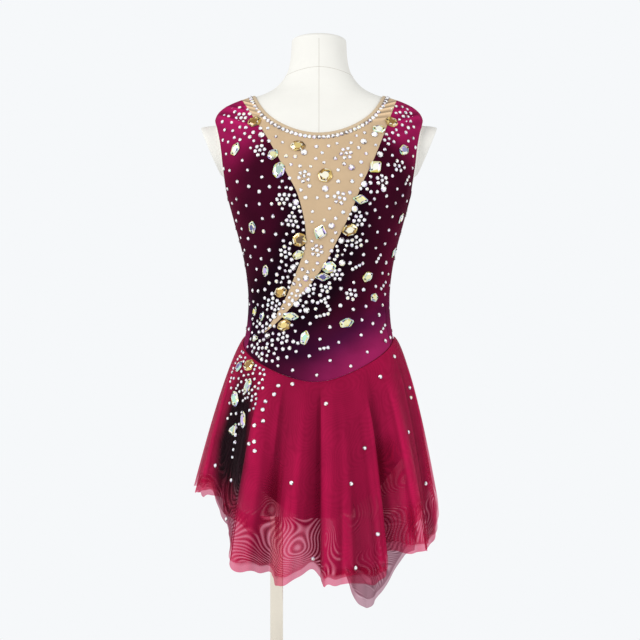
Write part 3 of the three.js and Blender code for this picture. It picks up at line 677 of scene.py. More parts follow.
def uneven(made, colour, scale, least, most):
    """The colour times a cloudy value between least and most, over the object's own place."""
    place = node(made, "ShaderNodeTexCoord").outputs["Object"]
    cloud = node(made, "ShaderNodeTexNoise", {"Vector": place, "Scale": scale, "Detail": 4.0})
    span = {"From Min": CLOUD_LOW, "From Max": CLOUD_HIGH, "To Min": least, "To Max": most}
    share = node(made, "ShaderNodeMapRange", {"Value": cloud.outputs["Fac"], **span})
    inputs = {0: colour, 3: share.outputs[0]}
    return node(made, "ShaderNodeVectorMath", inputs, operation="SCALE").outputs[0]


def ribs(made, pitch, turn):
    """Fine waves across the cut's own map, one every pitch metres."""
    cut = node(made, "ShaderNodeUVMap", uv_map="cut").outputs[0]
    turned = node(made, "ShaderNodeMapping", {"Vector": cut, "Rotation": (0, 0, turn)})
    wave = {"Vector": turned.outputs[0], "Scale": WAVE_LENGTH / pitch, "Distortion": RIB_WANDER}
    return node(made, "ShaderNodeTexWave", wave).outputs["Fac"]


def knit_bump(made, pitch, height):
    """Two sets of ribs, crossed and multiplied, raise the shader's surface by height metres."""
    knit = maths(made, "MULTIPLY", *(ribs(made, pitch, turn) for turn in (RIB_TURN, -RIB_TURN)))
    raised = {"Height": knit, "Distance": height, "Strength": KNIT_STRENGTH}
    join(made, node(made, "ShaderNodeBump", raised).outputs[0], "Normal")


def dyed(made, least=0.88, most=1.1):
    """The dye carried by the points, a little uneven, as the shader's colour."""
    colour = node(made, "ShaderNodeVertexColor", layer_name="dye").outputs["Color"]
    join(made, uneven(made, colour, DYE_CLOUDS, least, most), "Base Color")


def even_dye(made, colour, least=0.94, most=1.04):
    """One colour, a little uneven, as the shader's colour."""
    plain = node(made, "ShaderNodeRGB")
    plain.outputs[0].default_value = (*colour, 1)
    join(made, uneven(made, plain.outputs[0], PLAIN_CLOUDS, least, most), "Base Color")


print("ribs to the metre at a pitch of 1.1 mm:", round(1 / 0.0011))

# %% [markdown]
# ## Cloth finishes
#
# Worn stretch cloth is matt, with hardly any gloss, so its specular level is almost nothing. The
# mesh and the tape are a little drier or smoother than it. Each finish is a few plain values.

# %% Cloth finishes
stretch_cloth = finish(
    "dyed stretch cloth",
    {"Roughness": 0.85, "Specular IOR Level": 0.03, "Sheen Weight": 0.02, "Sheen Roughness": 0.25,
     "Sheen Tint": (1, 0.5, 0.7, 1)},
)
dyed(stretch_cloth)
knit_bump(stretch_cloth, 0.0011, 0.00012)

NUDE = linear(205, 177, 142)
nude_mesh = finish(
    "nude power mesh", {"Roughness": 0.72, "Specular IOR Level": 0.2, "Sheen Weight": 0.05}
)
dyed(nude_mesh, 0.94, 1.04)
knit_bump(nude_mesh, 0.0009, 0.00018)

binding_tape = finish(
    "nude binding tape", {"Roughness": 0.6, "Specular IOR Level": 0.3, "Sheen Weight": 0.15}
)
even_dye(binding_tape, linear(205, 182, 150))
knit_bump(binding_tape, 0.0012, 0.00015)

brief_cloth = finish("crimson brief cloth", {"Roughness": 0.7, "Specular IOR Level": 0.15})
even_dye(brief_cloth, linear(118, 10, 42))
knit_bump(brief_cloth, 0.0011, 0.00012)
print("finishes:", [m.name for m in bpy.data.materials])

# %% [markdown]
# ## Bodice
#
# The front is cut in one piece round the V, the inset fills it, and the back is whole. Each is a
# wall with a true inner face, because the armholes and the neck show the cloth's edge.


# %% Bodice pieces
MM_PER_DEGREE = 2.3  # round the body
# Painted light and shade on the creases: the dye is scaled by how much a crease's height grows over
# the step below.
CREASE_SHADE_STEP = 3  # a crease is set against the cloth this far below it
CREASE_SHADE_DEPTH = 0.24  # share of the dye for each millimetre
CREASE_SHADE_RANGE = (0.55, 1.5)


def flat_cut(places):
    """The cloth laid flat: along the waist by angle, and up by height."""
    return places * [MM_PER_DEGREE, 1.0]


def cloth_piece(name, cloth, rows, made, dye):
    """A bodice piece in one finish. Its creases lift the outer face, whose dye carries painted
    light
    and shade: paler where a crease's height grows upwards, and deeper where it falls."""
    angle, z = cloth[0].T
    x = polar(angle, body_radius(angle, z), z)[:, 0]
    crease = creases(rows, x, z)
    step = crease - creases(rows, x, z - CREASE_SHADE_STEP)
    points, faces = wall(cloth, on_body, CLOTH_IN, CLOTH_OUT + crease)
    # Painted light and shade of the creases, on the outer face only.
    dye = np.vstack([dye * np.clip(1 + CREASE_SHADE_DEPTH * step, *CREASE_SHADE_RANGE)[:, None], dye])
    flat = flat_cut(np.vstack([cloth[0], cloth[0]]))
    return new_piece(name, points, faces, made, dye, flat)


FRONT_CLOTH = sewn(LEFT_NET, RIGHT_NET)
front_panel = cloth_piece(
    "front_panel", FRONT_CLOTH, FRONT_CREASES, stretch_cloth,
    bodice_dye(*FRONT_CLOTH[0].T),
)
back_panel = cloth_piece(
    "back_panel", BACK_NET, BACK_CREASES, stretch_cloth,
    bodice_dye(*BACK_NET[0].T),
)
mesh_inset = cloth_piece(
    "mesh_inset", INSET_NET, FRONT_CREASES, nude_mesh,
    np.tile(NUDE, (len(INSET_NET[0]), 1)),
)
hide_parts("bodice_front")
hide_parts("bodice_back")
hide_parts("front_mesh_inset")

# %% [markdown]
# ## Neck binding
#
# The neck is bound with a folded strip that rolls over the edge. It is a profile carried round
# the neckline: half round across, following the scoop in front and the shallower one behind.

# %% Binding
BINDING_HIGH = 2.5
BINDING_ROUND = 0.6  # below 1 the strip's rim is fuller than half a circle


def neck_point(turn, out, lift):
    """Round the neck: turn 0 in front, 90 on the right shoulder, 180 behind. x is sin(turn) times
    the half width, and the point is lifted off the body along its normal."""
    side = np.sin(np.radians(turn))
    back = np.abs(turn) > 90
    x = side * (NECK_HALF + out)
    z = neck_height(side, out, back)
    angle = np.where(back, angle_at(x, z, True), angle_at(x, z, False))
    p, n = on_body(angle, z)
    return p + n * np.asarray(lift)[..., None], n


def neck_binding():
    """Columns round the neck, rows across the strip: half a circle above, flat below."""
    turn = np.linspace(-180, 180, 361)[:-1]
    across = np.linspace(0, math.pi, 9)
    out = (1 - np.cos(across)) / 2 * BINDING_WIDTH
    lift = CLOTH_IN + (BINDING_HIGH - CLOTH_IN) * np.sin(across) ** BINDING_ROUND
    under = np.linspace(BINDING_WIDTH, 0, 4)[1:-1]
    out = np.concatenate([out, under])
    lift = np.concatenate([lift, np.full(len(under), CLOTH_IN)])
    points, _ = neck_point(*np.broadcast_arrays(turn[None], out[:, None], lift[:, None]))
    rows, columns = len(out), len(turn)
    i = np.arange(rows * columns).reshape(rows, columns)
    j, k = np.roll(i, -1, 0), np.roll(i, -1, 1)
    faces = np.stack([i, j, np.roll(j, -1, 1), k], -1).reshape(-1, 4)
    cut = np.stack(np.broadcast_arrays(turn[None] * 2.0, out[:, None]), -1).reshape(-1, 2)
    points, faces = points.reshape(-1, 3), faces.tolist()
    return new_piece("neck_edge", points, faces, binding_tape, None, cut)


neck_edge = neck_binding()
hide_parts("neck_binding")

# %% [markdown]
# ## Briefs
#
# Under the skirt the leotard goes on as briefs with high-cut legs. Only a dark shape through the
# mesh shows of them, but it decides how deep the crimson looks, so they are cut true as well.

# %% Briefs
BRIEFS_FOOT = 684
BRIEFS_TOP = 0.3
BRIEFS_OUT = 1.5
GUSSET_HALF = 34
GUSSET_BACK, GUSSET_FRONT = 70, -60  # where it bends under the form
LEG_FRONT = table("y z", (-73, 684), (-74, 702), (-66, 732), (-52, 766), (-24, 794), (2, 801))
LEG_BACK = table("y z", (86, 684), (90, 702), (82, 732), (64, 766), (30, 795), (2, 801))


def clear_of_leg(angle, z):
    """Distance from the leg opening: in front of it, behind it, or within the gusset's width."""
    x, y, _ = polar(angle, body_radius(angle, z), z).T
    front, back = (through(rows, "z", "y", z) for rows in (LEG_FRONT, LEG_BACK))
    return np.maximum(np.maximum(front - y, y - back), GUSSET_HALF - np.abs(x))


def gusset():
    """The strip that turns under the form, from behind to the front: a closed row of points round
    its outer and inner face, at each place along it."""
    across = np.linspace(-GUSSET_HALF, GUSSET_HALF, 9)
    low = BODY["z"][0]
    levels = np.array([BRIEFS_FOOT, low])
    front, back = (through(BODY, "z", side, levels) for side in ("front", "back"))
    under = [(y, low) for y in np.linspace(GUSSET_BACK, GUSSET_FRONT, 8)]
    path = [(back[0], BRIEFS_FOOT), (back[1], low), *under]
    path = np.array([*path, (-front[1], low), (-front[0], BRIEFS_FOOT)])
    out = unit(np.gradient(path, axis=0)[:, ::-1] * [-1, 1])
    rings = []
    for lift, x in ((BRIEFS_OUT, across), (CLOTH_IN, across[::-1])):
        y, z = (path + out * lift).T
        rings.append(np.stack(np.broadcast_arrays(x[None], y[:, None], z[:, None]), -1))
    return np.concatenate(rings, 1)


def briefs():
    """The net below the waist seam, less the leg openings, closed behind, and the gusset."""
    cloth = net(-180, 180, BRIEFS_FOOT, 974, step=6, turn=2)
    cloth = trim(cloth, lambda a, z: seam_height(a) - BRIEFS_TOP - z)
    cloth = trim(cloth, clear_of_leg)
    places = cloth[0].copy()
    places[places[:, 0] > 179.999, 0] = -180  # the net's two ends meet behind
    cloth = sewn((places, cloth[1]))
    points, faces = wall(cloth, on_body, CLOTH_IN, BRIEFS_OUT)
    strip = gusset()
    faces += lathe_faces(*strip.shape[:2], start=len(points))
    strip = strip.reshape(-1, 3)
    cut = np.vstack([flat_cut(np.vstack([cloth[0], cloth[0]])), strip[:, :2]])
    points = np.vstack([points, strip])
    return new_piece("briefs_cloth", points, faces, brief_cloth, None, cut)


briefs_piece = briefs()
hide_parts("briefs")

# %% [markdown]
# ## Skirt
#
# The skirt is two layers of thin mesh, cut nearly as full circles, so it falls in flutes: each
# flute is a crest and a valley that grow towards the hem. The folds are listed one by one, with
# their own reach and a lean that lets one crest tip over the next valley. Finer ripples ride on
# them, smaller than a finger. The hem is cut in points, and the under layer is a little longer.

# %% Folds and hem
FOLDS = table(
    "angle reach lean",
    (-90, 13, 0),
    (-60, -21, 0),
    (-41, 11, 1),
    (-30, -12, 0),
    (-14, 10, -4),
    (1, -16, 0),
    (12, 15, -5),
    (27, 5, 2),
    (41, -16, 0),
    (54, 12, 2),
    (66, -8, 0),
    (79, 5, -2),
    (91, -8, 0),
    (103, 0, 2),
    (117, -17, 0),
    (131, 9, -3),
    (144, -15, 0),
    (156, 14, 3),
    (168, -16, 0),
    (180, 13, -3),
    (193, -16, 0),
    (206, 14, 3),
    (219, -15, 0),
    (232, 12, -3),
    (246, -14, 0),
    (257, 4, 2),
    (270, 13, 0),
)
HEM = table(
    "angle z",
    (-90, 706), (-80, 716), (-71, 714), (-64, 682), (-57, 662), (-50, 640), (-44, 612), (-34, 603),
    (-26, 596), (-14, 586), (-3, 604), (5, 588), (20, 590), (34, 592), (40, 628), (56, 628),
    (73, 636), (81, 700), (92, 714), (106, 668), (120, 612), (134, 576), (141, 516), (151, 466),
    (159, 484), (165, 552), (176, 632), (192, 650), (208, 618), (222, 612), (236, 652), (250, 690),
    (270, 706),
)
FLARE_REF = 258
FLARE_LEFT = (73, 0.72)
FLARE_RIGHT = (66, 0.62)
FLARE_FRONT, FLARE_BACK = 60, 66
FOLD_POWER = 0.9
PINCHED = 0.45  # how far the crests are rounded and the valleys pinched
RIPPLE_POWER = 1.6
HIP_CLEAR, HIP_CLEAR_FROM = 6, 12  # room over the hips, reached at this drop
UNDER_LONGER = 13
LAYER_STEP, LAYER_SPREAD = 1.7, 2.5
WAIST_DROP = 0.2
WAIST_STEP = 1
FORM_BOTTOM = BODY["z"][0]
RIPPLES = table("count turn rise", (23, 40, 1.1), (37, 200, 0.8), (58, 90, 0.5), (83, 10, 0.35))
HEM_WANDER = ((31, 0, 1.6), (53, 70, 1.1))  # waves round the hem, their start and their height
PLEAT_FADES = (60, 80)  # over these drops a pleat begins and ends
PLEATS = table(
    "angle before after rise first last",
    (-31, 9, 1.4, 4.5, 0, 175),
    (2, 1.1, 13, 13, 0, 999),
    (-45, 1.8, 9, 6, 30, 999),
    (37, 9, 1.2, 8, 30, 999),
    (52, 1.6, 6, 4.5, 20, 999),
    (66, 5, 1.4, 4, 0, 999),
    (77, 1.5, 6, 4, 0, 999),
    (-76, 6, 1.6, 4, 10, 999),
    (-15, 5, 1.5, 3, 150, 999),
    (17, 1.4, 5, 3, 170, 999),
    (121, 1.6, 8, 5, 20, 999),
    (150, 8, 1.5, 6, 0, 999),
    (171, 1.5, 9, 6, 0, 999),
    (196, 7, 1.4, 5, 30, 999),
    (213, 1.5, 8, 6, 0, 999),
    (238, 7, 1.5, 5, 20, 999),
)
print("folds:", len(FOLDS["angle"]) - 1, "pleats:", len(PLEATS["angle"]))


# %% The skirt's surface
def crests(column, angle):
    """From row to row: mostly a half cosine, partly a square, which rounds the crests and pinches
    the valleys."""
    angle = (angle + 90) % 360 - 90
    rows = FOLDS["angle"]
    i = np.clip(np.searchsorted(rows, angle, side="right") - 1, 0, len(rows) - 2)
    a, b = rows[i], rows[i + 1]
    t = np.clip((angle - a) / (b - a), 0, 1)
    falling = FOLDS["reach"][i] > FOLDS["reach"][i + 1]
    pinched = np.where(falling, t**2, 1 - (1 - t) ** 2)
    share = (1 - PINCHED) * (1 - np.cos(math.pi * t)) / 2 + PINCHED * pinched
    return mix(FOLDS[column][i], FOLDS[column][i + 1], share)


def flare(angle, share):
    """How far the skirt stands out: by side from left to right, and by front or back."""
    along = np.cos(np.radians(angle))
    right = (1 + np.sin(np.radians(angle))) / 2
    side, power = (mix(FLARE_LEFT[k], FLARE_RIGHT[k], right) for k in (0, 1))
    return mix(side, np.where(along > 0, FLARE_FRONT, FLARE_BACK), along**2) * share**power


def ripples(angle, share, shift):
    """Small waves, a sum of sines that grow towards the hem."""
    turn = np.radians(np.asarray(angle)[..., None] * RIPPLES["count"] + RIPPLES["turn"] * shift)
    return (np.sin(turn) * RIPPLES["rise"]).sum(-1) * share**RIPPLE_POWER


def pleats(angle, drop, share):
    """Sharp edges between the folds: each rises to its angle over the degrees before it and falls
    over those after it, so that the steep side turns away from the light."""
    angle = (np.asarray(angle) + 90) % 360 - 90
    total = np.zeros(np.broadcast_shapes(angle.shape, np.shape(drop)))
    for at, before, after, rise, first, last in zip(*PLEATS.values()):
        edge = smoothstep(at - before, at, angle) - smoothstep(at, at + after, angle)
        shown = smoothstep(first, first + PLEAT_FADES[0], drop)
        shown = shown * smoothstep(last, last - PLEAT_FADES[1], drop)
        total = total + rise * edge * shown * np.sqrt(share)
    return total


def skirt_point(angle, drop, under=0):
    """Hangs from the waist seam: the body's radius there, plus flare, folds, pleats and ripples,
    and never nearer the hips than HIP_CLEAR."""
    top = seam_height(angle) - WAIST_DROP
    z = top - drop
    share = np.maximum(drop, 0) / FLARE_REF
    fold = crests("reach", angle) * share**FOLD_POWER
    step = under * (LAYER_STEP + LAYER_SPREAD * share)
    hang = body_radius(angle, top) + CLOTH_OUT + WAIST_STEP + flare(angle, share) + fold
    hang = hang + pleats(angle, drop, share) + ripples(angle, share, 1 + 0.15 * under) - step
    room = HIP_CLEAR * np.minimum(1, drop / HIP_CLEAR_FROM)
    near = body_radius(angle, np.maximum(z, FORM_BOTTOM)) + room
    lean = crests("lean", angle) * share
    return polar(angle + lean, np.maximum(hang, near - step), z)


def on_skirt(angle, drop):
    """Points of the upper layer and their outward normals."""
    return skirt_point(angle, drop), normal_of(skirt_point, angle, np.maximum(drop, 2))


def hem_drop(angle, under):
    """Drop from the waist seam to the hem, whose raw edge wanders a little."""
    wander = sum(
        rise * np.sin(np.radians(angle * count + turn)) for count, turn, rise in HEM_WANDER
    )
    longer = np.where(under, 2.5 * np.sin(np.radians(angle * 17 + 30)), -UNDER_LONGER)
    return seam_height(angle) - WAIST_DROP - through(HEM, "angle", "z", angle) + wander + longer


print("the hem hangs", round(float(hem_drop(0.0, False))), "mm below the seam in front")

# %% [markdown]
# ## Skirt dye and finish
#
# Mesh is mostly holes. One layer over white looks pink and four look crimson, because light is
# coloured each time it passes the fine threads. So each layer is a single sheet: part of it is a
# lit surface, and the rest is a Transparent shader in the veil's own tint. The share of the lit
# part is the cover. It is high at the waist and on the flanks of folds, where the threads crowd,
# and low at the hem. Where two layers lie over each other they beat into wood-grain rings, the
# moire. Here it is a warped wave that opens and closes the under layer.
# Black dye runs down one hip, and down the back's other side to its longest point.

# %% Skirt dye
CRIMSON = np.array([0.34, 0.0055, 0.05])
HIP_BLACK = linear(26, 6, 14)
CRIMSON_VEIL = np.array([0.97, 0.6, 0.7])
BLACK_VEIL = np.array([0.84, 0.66, 0.72])
HIP_DYE = table(
    "drop left right",
    (0, -67, -50), (75, -70, -48), (150, -73, -44), (200, -71, -44), (320, -68, -47),
)
TAIL_AT, TAIL_WIDE = 143, 22
PATCH_AT, PATCH_WIDE = 97, 7
OPEN_WAIST = 0.18  # each of these is a share left open by the threads
OPEN_FRONT, OPEN_BACK = 0.27, 0.62
OPEN_WINDOW = 0.7
BLACK_SHUTS = 0.3
OPEN_BLACK_FRONT, OPEN_BLACK_BACK = 0.52, 0.76
RAW_HEM = (-16, -9)  # where it opens, above the hem
FLANK_LEAST = 0.35  # flanks steeper than this count as this
WINDOWS = table(
    "angle drop wide tall",
    (-14, 264, 12, 44),
    (-28, 215, 6.5, 76),
    (-45, 264, 9, 40),
    (43, 160, 7, 44),
    (50, 262, 14, 34),
    (80, 210, 6, 60),
    (150, 300, 40, 60),
    (214, 240, 30, 44),
)
print("open windows:", len(WINDOWS["angle"]))


# %% Dye, cover and tone by place
def black_dye(angle, drop):
    """The share of black: a band down one hip, a patch at the other, and the tail's long point."""
    left, right = (np.interp(drop, HIP_DYE["drop"], HIP_DYE[c]) for c in ("left", "right"))
    hip = smoothstep(left - 4, left + 5, angle) * smoothstep(right + 5, right - 4, angle)
    tail = np.exp(-(((angle - TAIL_AT) / TAIL_WIDE) ** 4)) * smoothstep(90, 220, drop)
    side = np.exp(-(((angle - PATCH_AT) / PATCH_WIDE) ** 4))
    side = side * smoothstep(0, 20, drop) * smoothstep(230, 120, drop)
    hip = hip * smoothstep(-10, 70, drop) * mix(1, 0.6, smoothstep(185, 235, drop))
    return np.maximum(np.maximum(hip, tail), side)


def cover_of(angle, drop, length, black):
    """The threads' share of the surface: high, but low in the windows where the folds lie apart and
    along the raw hem, and higher by the slope of a fold's flank against the way out."""
    normal = normal_of(skirt_point, angle, np.maximum(drop, 2))
    a = np.radians(angle)
    facing = np.abs(normal[..., 0] * np.sin(a) - normal[..., 1] * np.cos(a))
    window = sum(
        np.exp(-(((angle - at) / wide) ** 4) - ((drop - down) / tall) ** 4)
        for at, down, wide, tall in zip(*WINDOWS.values())
    )
    seen = np.maximum(np.clip(window, 0, 1), smoothstep(*RAW_HEM, drop - length))
    behind = np.abs(angle - 180) < 90
    shut = mix(OPEN_WAIST, np.where(behind, OPEN_BACK, OPEN_FRONT), smoothstep(60, 235, drop))
    share = mix(shut, OPEN_WINDOW, seen)
    share = share * mix(1, BLACK_SHUTS, black * smoothstep(215, 165, drop))
    low = np.where(behind, OPEN_BLACK_BACK, OPEN_BLACK_FRONT)
    share = mix(share, low, black * smoothstep(185, 235, drop))
    return 1 - share ** (1 / np.clip(facing, FLANK_LEAST, 1))


# Painted shade and highlight on the skirt's folds: where a place is compared, by how much, and the
# dye's share from valley to crest.
BROAD_TURNS, BROAD_RISE, BROAD_SHADE = range(-12, 13, 3), 9, (0.74, 1.22)
FINE_TURNS, FINE_RISE, FINE_SHADE = (-3, -1.5, 1.5, 3), 1.6, (0.8, 1.2)


def fold_painted_shade(angle, drop, under):
    """Painted shade and highlight: the dye's share by how far a place stands out from the mean
    round it, once over the width of a flute and once over a ripple. Valleys are darkened and crests
    lightened."""

    def out(turn):
        return np.hypot(*np.moveaxis(skirt_point(angle + turn, drop, under)[..., :2], -1, 0))

    def tone(turns, rise, span):
        mean = sum(out(turn) for turn in turns) / len(turns)
        return mix(*span, smoothstep(-rise, rise, out(0) - mean))

    return tone(BROAD_TURNS, BROAD_RISE, BROAD_SHADE) * tone(FINE_TURNS, FINE_RISE, FINE_SHADE)


print("black at the hip, halfway down:", round(float(black_dye(-60.0, 110.0)), 2))

# %% [markdown]
# ## The mesh's shader
#
# The skirt's mesh has a thread to the millimetre, far too many to model. The shader mixes the lit
# threads with the tinted holes by the cover that each point carries. The rings of the moire open
# and close the under layer only where two layers lie over each other, as in real net.

# %% Skirt mesh finish
MOIRE_CLOUDS = 12.0  # swirls per metre, about
MOIRE_SWIRL = 230.0  # turns of the wave, in radians, from a swirl's edge to its middle
MOIRE_DOWN = 620.0  # radians per metre down the cut
RING_TINT = 2.4  # how much deeper the holes' tint is in a ring
UPPER_RINGS, UNDER_RINGS = 0.06, 0.75


def skirt_finish(name, rings):
    """Principled where the threads are and a tinted Transparent elsewhere. The cover comes with
    the dye's alpha, and rings says how far the moire opens and closes it."""
    made = finish(
        name,
        {"Roughness": 0.6, "Specular IOR Level": 0.05, "Sheen Weight": 0.03, "Sheen Roughness": 0.3,
         "Sheen Tint": (1, 0.5, 0.65, 1)},
    )
    dyed(made, 0.92, 1.08)
    links, nodes = made.node_tree.links, made.node_tree.nodes
    cover = node(made, "ShaderNodeVertexColor", layer_name="dye").outputs["Alpha"]
    carried = node(made, "ShaderNodeVertexColor", layer_name="veil")
    veil, doubled = carried.outputs["Color"], carried.outputs["Alpha"]
    cut = node(made, "ShaderNodeUVMap", uv_map="cut").outputs[0]
    clouds = {"Vector": cut, "Scale": MOIRE_CLOUDS, "Detail": 0.5, "Roughness": 0.4}
    warp = node(made, "ShaderNodeTexNoise", clouds).outputs["Fac"]
    swirl = maths(made, "MULTIPLY", warp, MOIRE_SWIRL)
    down = node(made, "ShaderNodeSeparateXYZ", {0: cut}).outputs["Y"]
    wave = maths(made, "SINE", maths(made, "MULTIPLY_ADD", down, MOIRE_DOWN, swirl))
    ring = maths(made, "MULTIPLY", wave, doubled)
    swing = maths(made, "MULTIPLY_ADD", ring, rings, 1.0)
    share = maths(made, "MULTIPLY", cover, swing, use_clamp=True)
    tint = node(made, "ShaderNodeVectorMath", {0: veil, 1: veil}, operation="MULTIPLY").outputs[0]
    span = {"From Min": -1.0, "From Max": 1.0, "To Min": 0.0, "To Max": RING_TINT * rings}
    dense = node(made, "ShaderNodeMapRange", {"Value": ring, **span}).outputs[0]
    deeper = node(made, "ShaderNodeMix", {0: dense, 6: veil, 7: tint}, data_type="RGBA")
    holes = node(made, "ShaderNodeBsdfTransparent", {"Color": deeper.outputs[2]}).outputs[0]
    threads = nodes["Principled BSDF"].outputs[0]
    sheet = node(made, "ShaderNodeMixShader", {0: share, 1: holes, 2: threads})
    links.new(sheet.outputs[0], nodes["Material Output"].inputs["Surface"])
    knit_bump(made, 0.0013, 0.0002)
    return made


upper_mesh = skirt_finish("crimson mesh upper layer", UPPER_RINGS)
under_mesh = skirt_finish("crimson mesh under layer", UNDER_RINGS)
print("skirt finishes:", upper_mesh.name, "and", under_mesh.name)

# %% [markdown]
# ## Skirt layers
#
# Each layer is cut in a front and a back half, joined at the side seams. A half is one grid of
# points with its dye, cover and veil, and no thickness: mesh is thinner than a line can show.

# %% Skirt layers
SIDE_GAP = 0.08  # degrees between a half and its side seam
UNDER_START = 0.012  # the under layer begins this share of its length below the seam
SEAM_CROWD = 1.15
CUT_ROUND = (2.2, 3.6)  # millimetres to a degree at the seam, and 300 mm below it


def with_alpha(colour, alpha):
    """Rows of red, green, blue and alpha."""
    return np.concatenate([colour, alpha[..., None]], -1).reshape(-1, 4)


def skirt_layer(name, first, last, under, columns=540, rows=80):
    """A grid of angles by drops: rows crowd near the seam, where the flutes spring out."""
    angle = np.linspace(first + SIDE_GAP, last - SIDE_GAP, columns)
    t = np.linspace(UNDER_START if under else 0, 1, rows) ** SEAM_CROWD
    drop = t[:, None] * hem_drop(angle, under)[None]
    angle = np.broadcast_to(angle, drop.shape)
    points = skirt_point(angle, drop, int(under)).reshape(-1, 3)
    cut = np.stack([angle * mix(*CUT_ROUND, drop / 300), drop], -1).reshape(-1, 2)
    black = black_dye(angle, drop)
    cover = cover_of(angle, drop, hem_drop(angle, under), black)
    # The folds' painted shade and highlight, carried by the dye.
    tone = fold_painted_shade(angle, drop, int(under))[..., None]
    dye = with_alpha(mix(CRIMSON, HIP_BLACK, black[..., None]) * tone, cover)
    doubled = smoothstep(-UNDER_LONGER - 1, -UNDER_LONGER - 6, drop - hem_drop(angle, under))
    made = under_mesh if under else upper_mesh
    faces = grid_faces(rows, columns)[:, ::-1].tolist()
    piece = new_piece(name, points, faces, made, dye, cut, sharp=0)
    veil = mix(CRIMSON_VEIL, BLACK_VEIL, black[..., None])
    add_colour(piece.data, "veil", with_alpha(veil, doubled))
    return piece


skirt_front_top = skirt_layer("skirt_front_top_layer", -90, 90, False)
skirt_back_top = skirt_layer("skirt_back_top_layer", 90, 270, False)
skirt_front_below = skirt_layer("skirt_front_lower_layer", -90, 90, True)
skirt_back_below = skirt_layer("skirt_back_lower_layer", 90, 270, True)
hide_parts("skirt_front_upper")
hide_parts("skirt_back_upper")
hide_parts("skirt_front_under")
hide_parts("skirt_back_under")

# %% [markdown]
# ## Cut stones
#
# Small stones are flat-backed glass: a low prism with eight crown facets and a table. Real glass
# shaders are slow on a thousand stones, and foil hides what is behind, so the sparkle is painted:
# each facet has its own tone, from painted shade to a painted glint. Each set of small stones is
# one joined mesh, with 18 faces to a stone.

# %% Small stones
STONE_SIDES = 8
CROWN = ((1, 0.0), (1, 0.28), (0.56, 0.62))  # radius and height of each ring, in stone radii
FACET_SPREAD, STONE_SPREAD = 0.6, 0.4  # how far tones differ within a stone, and between stones
# Painted shade on the girdle and on two crown facets, and a painted highlight that keeps the table
# bright.
GIRDLE_SHADE = 0.15
SHADED_FACETS = ((2, 0.3), (5, 0.4))  # crown facets that are dimmed, and how far
TABLE_GLINT_LEAST = 0.35


def ring_of(sides, radius, height, turn=0.0):
    """One ring of a stone's corners."""
    a = np.linspace(0, 2 * math.pi, sides, endpoint=False) + turn
    return np.stack([radius * np.cos(a), radius * np.sin(a), np.full(sides, float(height))], 1)


def small_stone():
    """Girdle, crown and table in stone radii: corner rings and the faces between them."""
    corners = np.vstack([ring_of(STONE_SIDES, *ring) for ring in CROWN])
    faces = grid_faces(len(CROWN), STONE_SIDES, closed=True).tolist()
    top = [2 * STONE_SIDES + k for k in range(STONE_SIDES)]
    return corners, faces + [top, list(range(STONE_SIDES))[::-1]]


def side_axes(normals):
    """Two directions along the surface for each normal: across, and up."""
    across = unit(np.cross([0.0, 0.0, 1.0], normals))
    return across, np.cross(normals, across)


def add_tones(piece, tones):
    """Flat facets, each with a tone of painted light that its shader reads."""
    piece.data.polygons.foreach_set("use_smooth", np.zeros(len(tones), bool))
    piece.data.attributes.new("tone", "FLOAT", "FACE").data.foreach_set("value", tones)


def set_stones(name, p, n, radius, made):
    """A copy of the small stone at each place: place + radius * (x across + y up + z normal)."""
    corners, faces = small_stone()
    spin = draw.uniform(0, 2 * math.pi, len(p))
    across, up = side_axes(n)
    u = across * np.cos(spin)[:, None] + up * np.sin(spin)[:, None]
    v = np.cross(n, u)
    axes = np.stack([u, v, n], 1) * np.reshape(radius, (-1, 1, 1))
    points = (p[:, None] + np.einsum("ck,pkx->pcx", corners, axes)).reshape(-1, 3)
    every = [[c + k * len(corners) for c in face] for k in range(len(p)) for face in faces]
    piece = new_piece(name, points, every, made, sharp=0)
    # Each facet's tone is painted light, from painted shade to a painted glint.
    tone = draw.uniform(0, 1, (len(p), len(faces))) * FACET_SPREAD
    tone = tone + draw.uniform(0, STONE_SPREAD, (len(p), 1))
    tone[:, :STONE_SIDES] *= GIRDLE_SHADE
    for facet, share in SHADED_FACETS:
        tone[:, STONE_SIDES + facet] *= share
    tone[:, -2] = mix(TABLE_GLINT_LEAST, 1, tone[:, -2])
    add_tones(piece, tone.ravel())
    return piece


print("corners and faces of a small stone:", [len(part) for part in small_stone()])


# %% Glass
def facet_finish(name, stops, values):
    """Glass by facets: the facet's tone picks a colour from the ramp's stops, from painted shade to
    a painted glint.
    """
    made = finish(name, values)
    tone = node(made, "ShaderNodeAttribute", attribute_name="tone").outputs["Fac"]
    ramp = node(made, "ShaderNodeValToRGB", {"Fac": tone})
    ramp.color_ramp.interpolation = "CONSTANT"
    while len(ramp.color_ramp.elements) < len(stops):
        ramp.color_ramp.elements.new(0.5)
    for element, (at, colour) in zip(ramp.color_ramp.elements, stops):
        element.position = at
        element.color = (*linear(*colour), 1)
    join(made, ramp.outputs[0], "Base Color")
    return made


# Its stops run from painted shade through pale tints to painted glints.
clear_glass = facet_finish(
    "clear foiled glass",
    [(0, (104, 92, 92)), (0.14, (166, 156, 164)), (0.24, (206, 182, 222)), (0.31, (226, 222, 226)),
     (0.42, (252, 250, 250)), (0.7, (255, 255, 255)), (0.84, (236, 244, 255)),
     (0.9, (255, 250, 214))],
    {"Roughness": 0.12, "Specular IOR Level": 0.8, "Coat Weight": 0.6, "Coat Roughness": 0.05},
)
print("glass:", clear_glass.name)
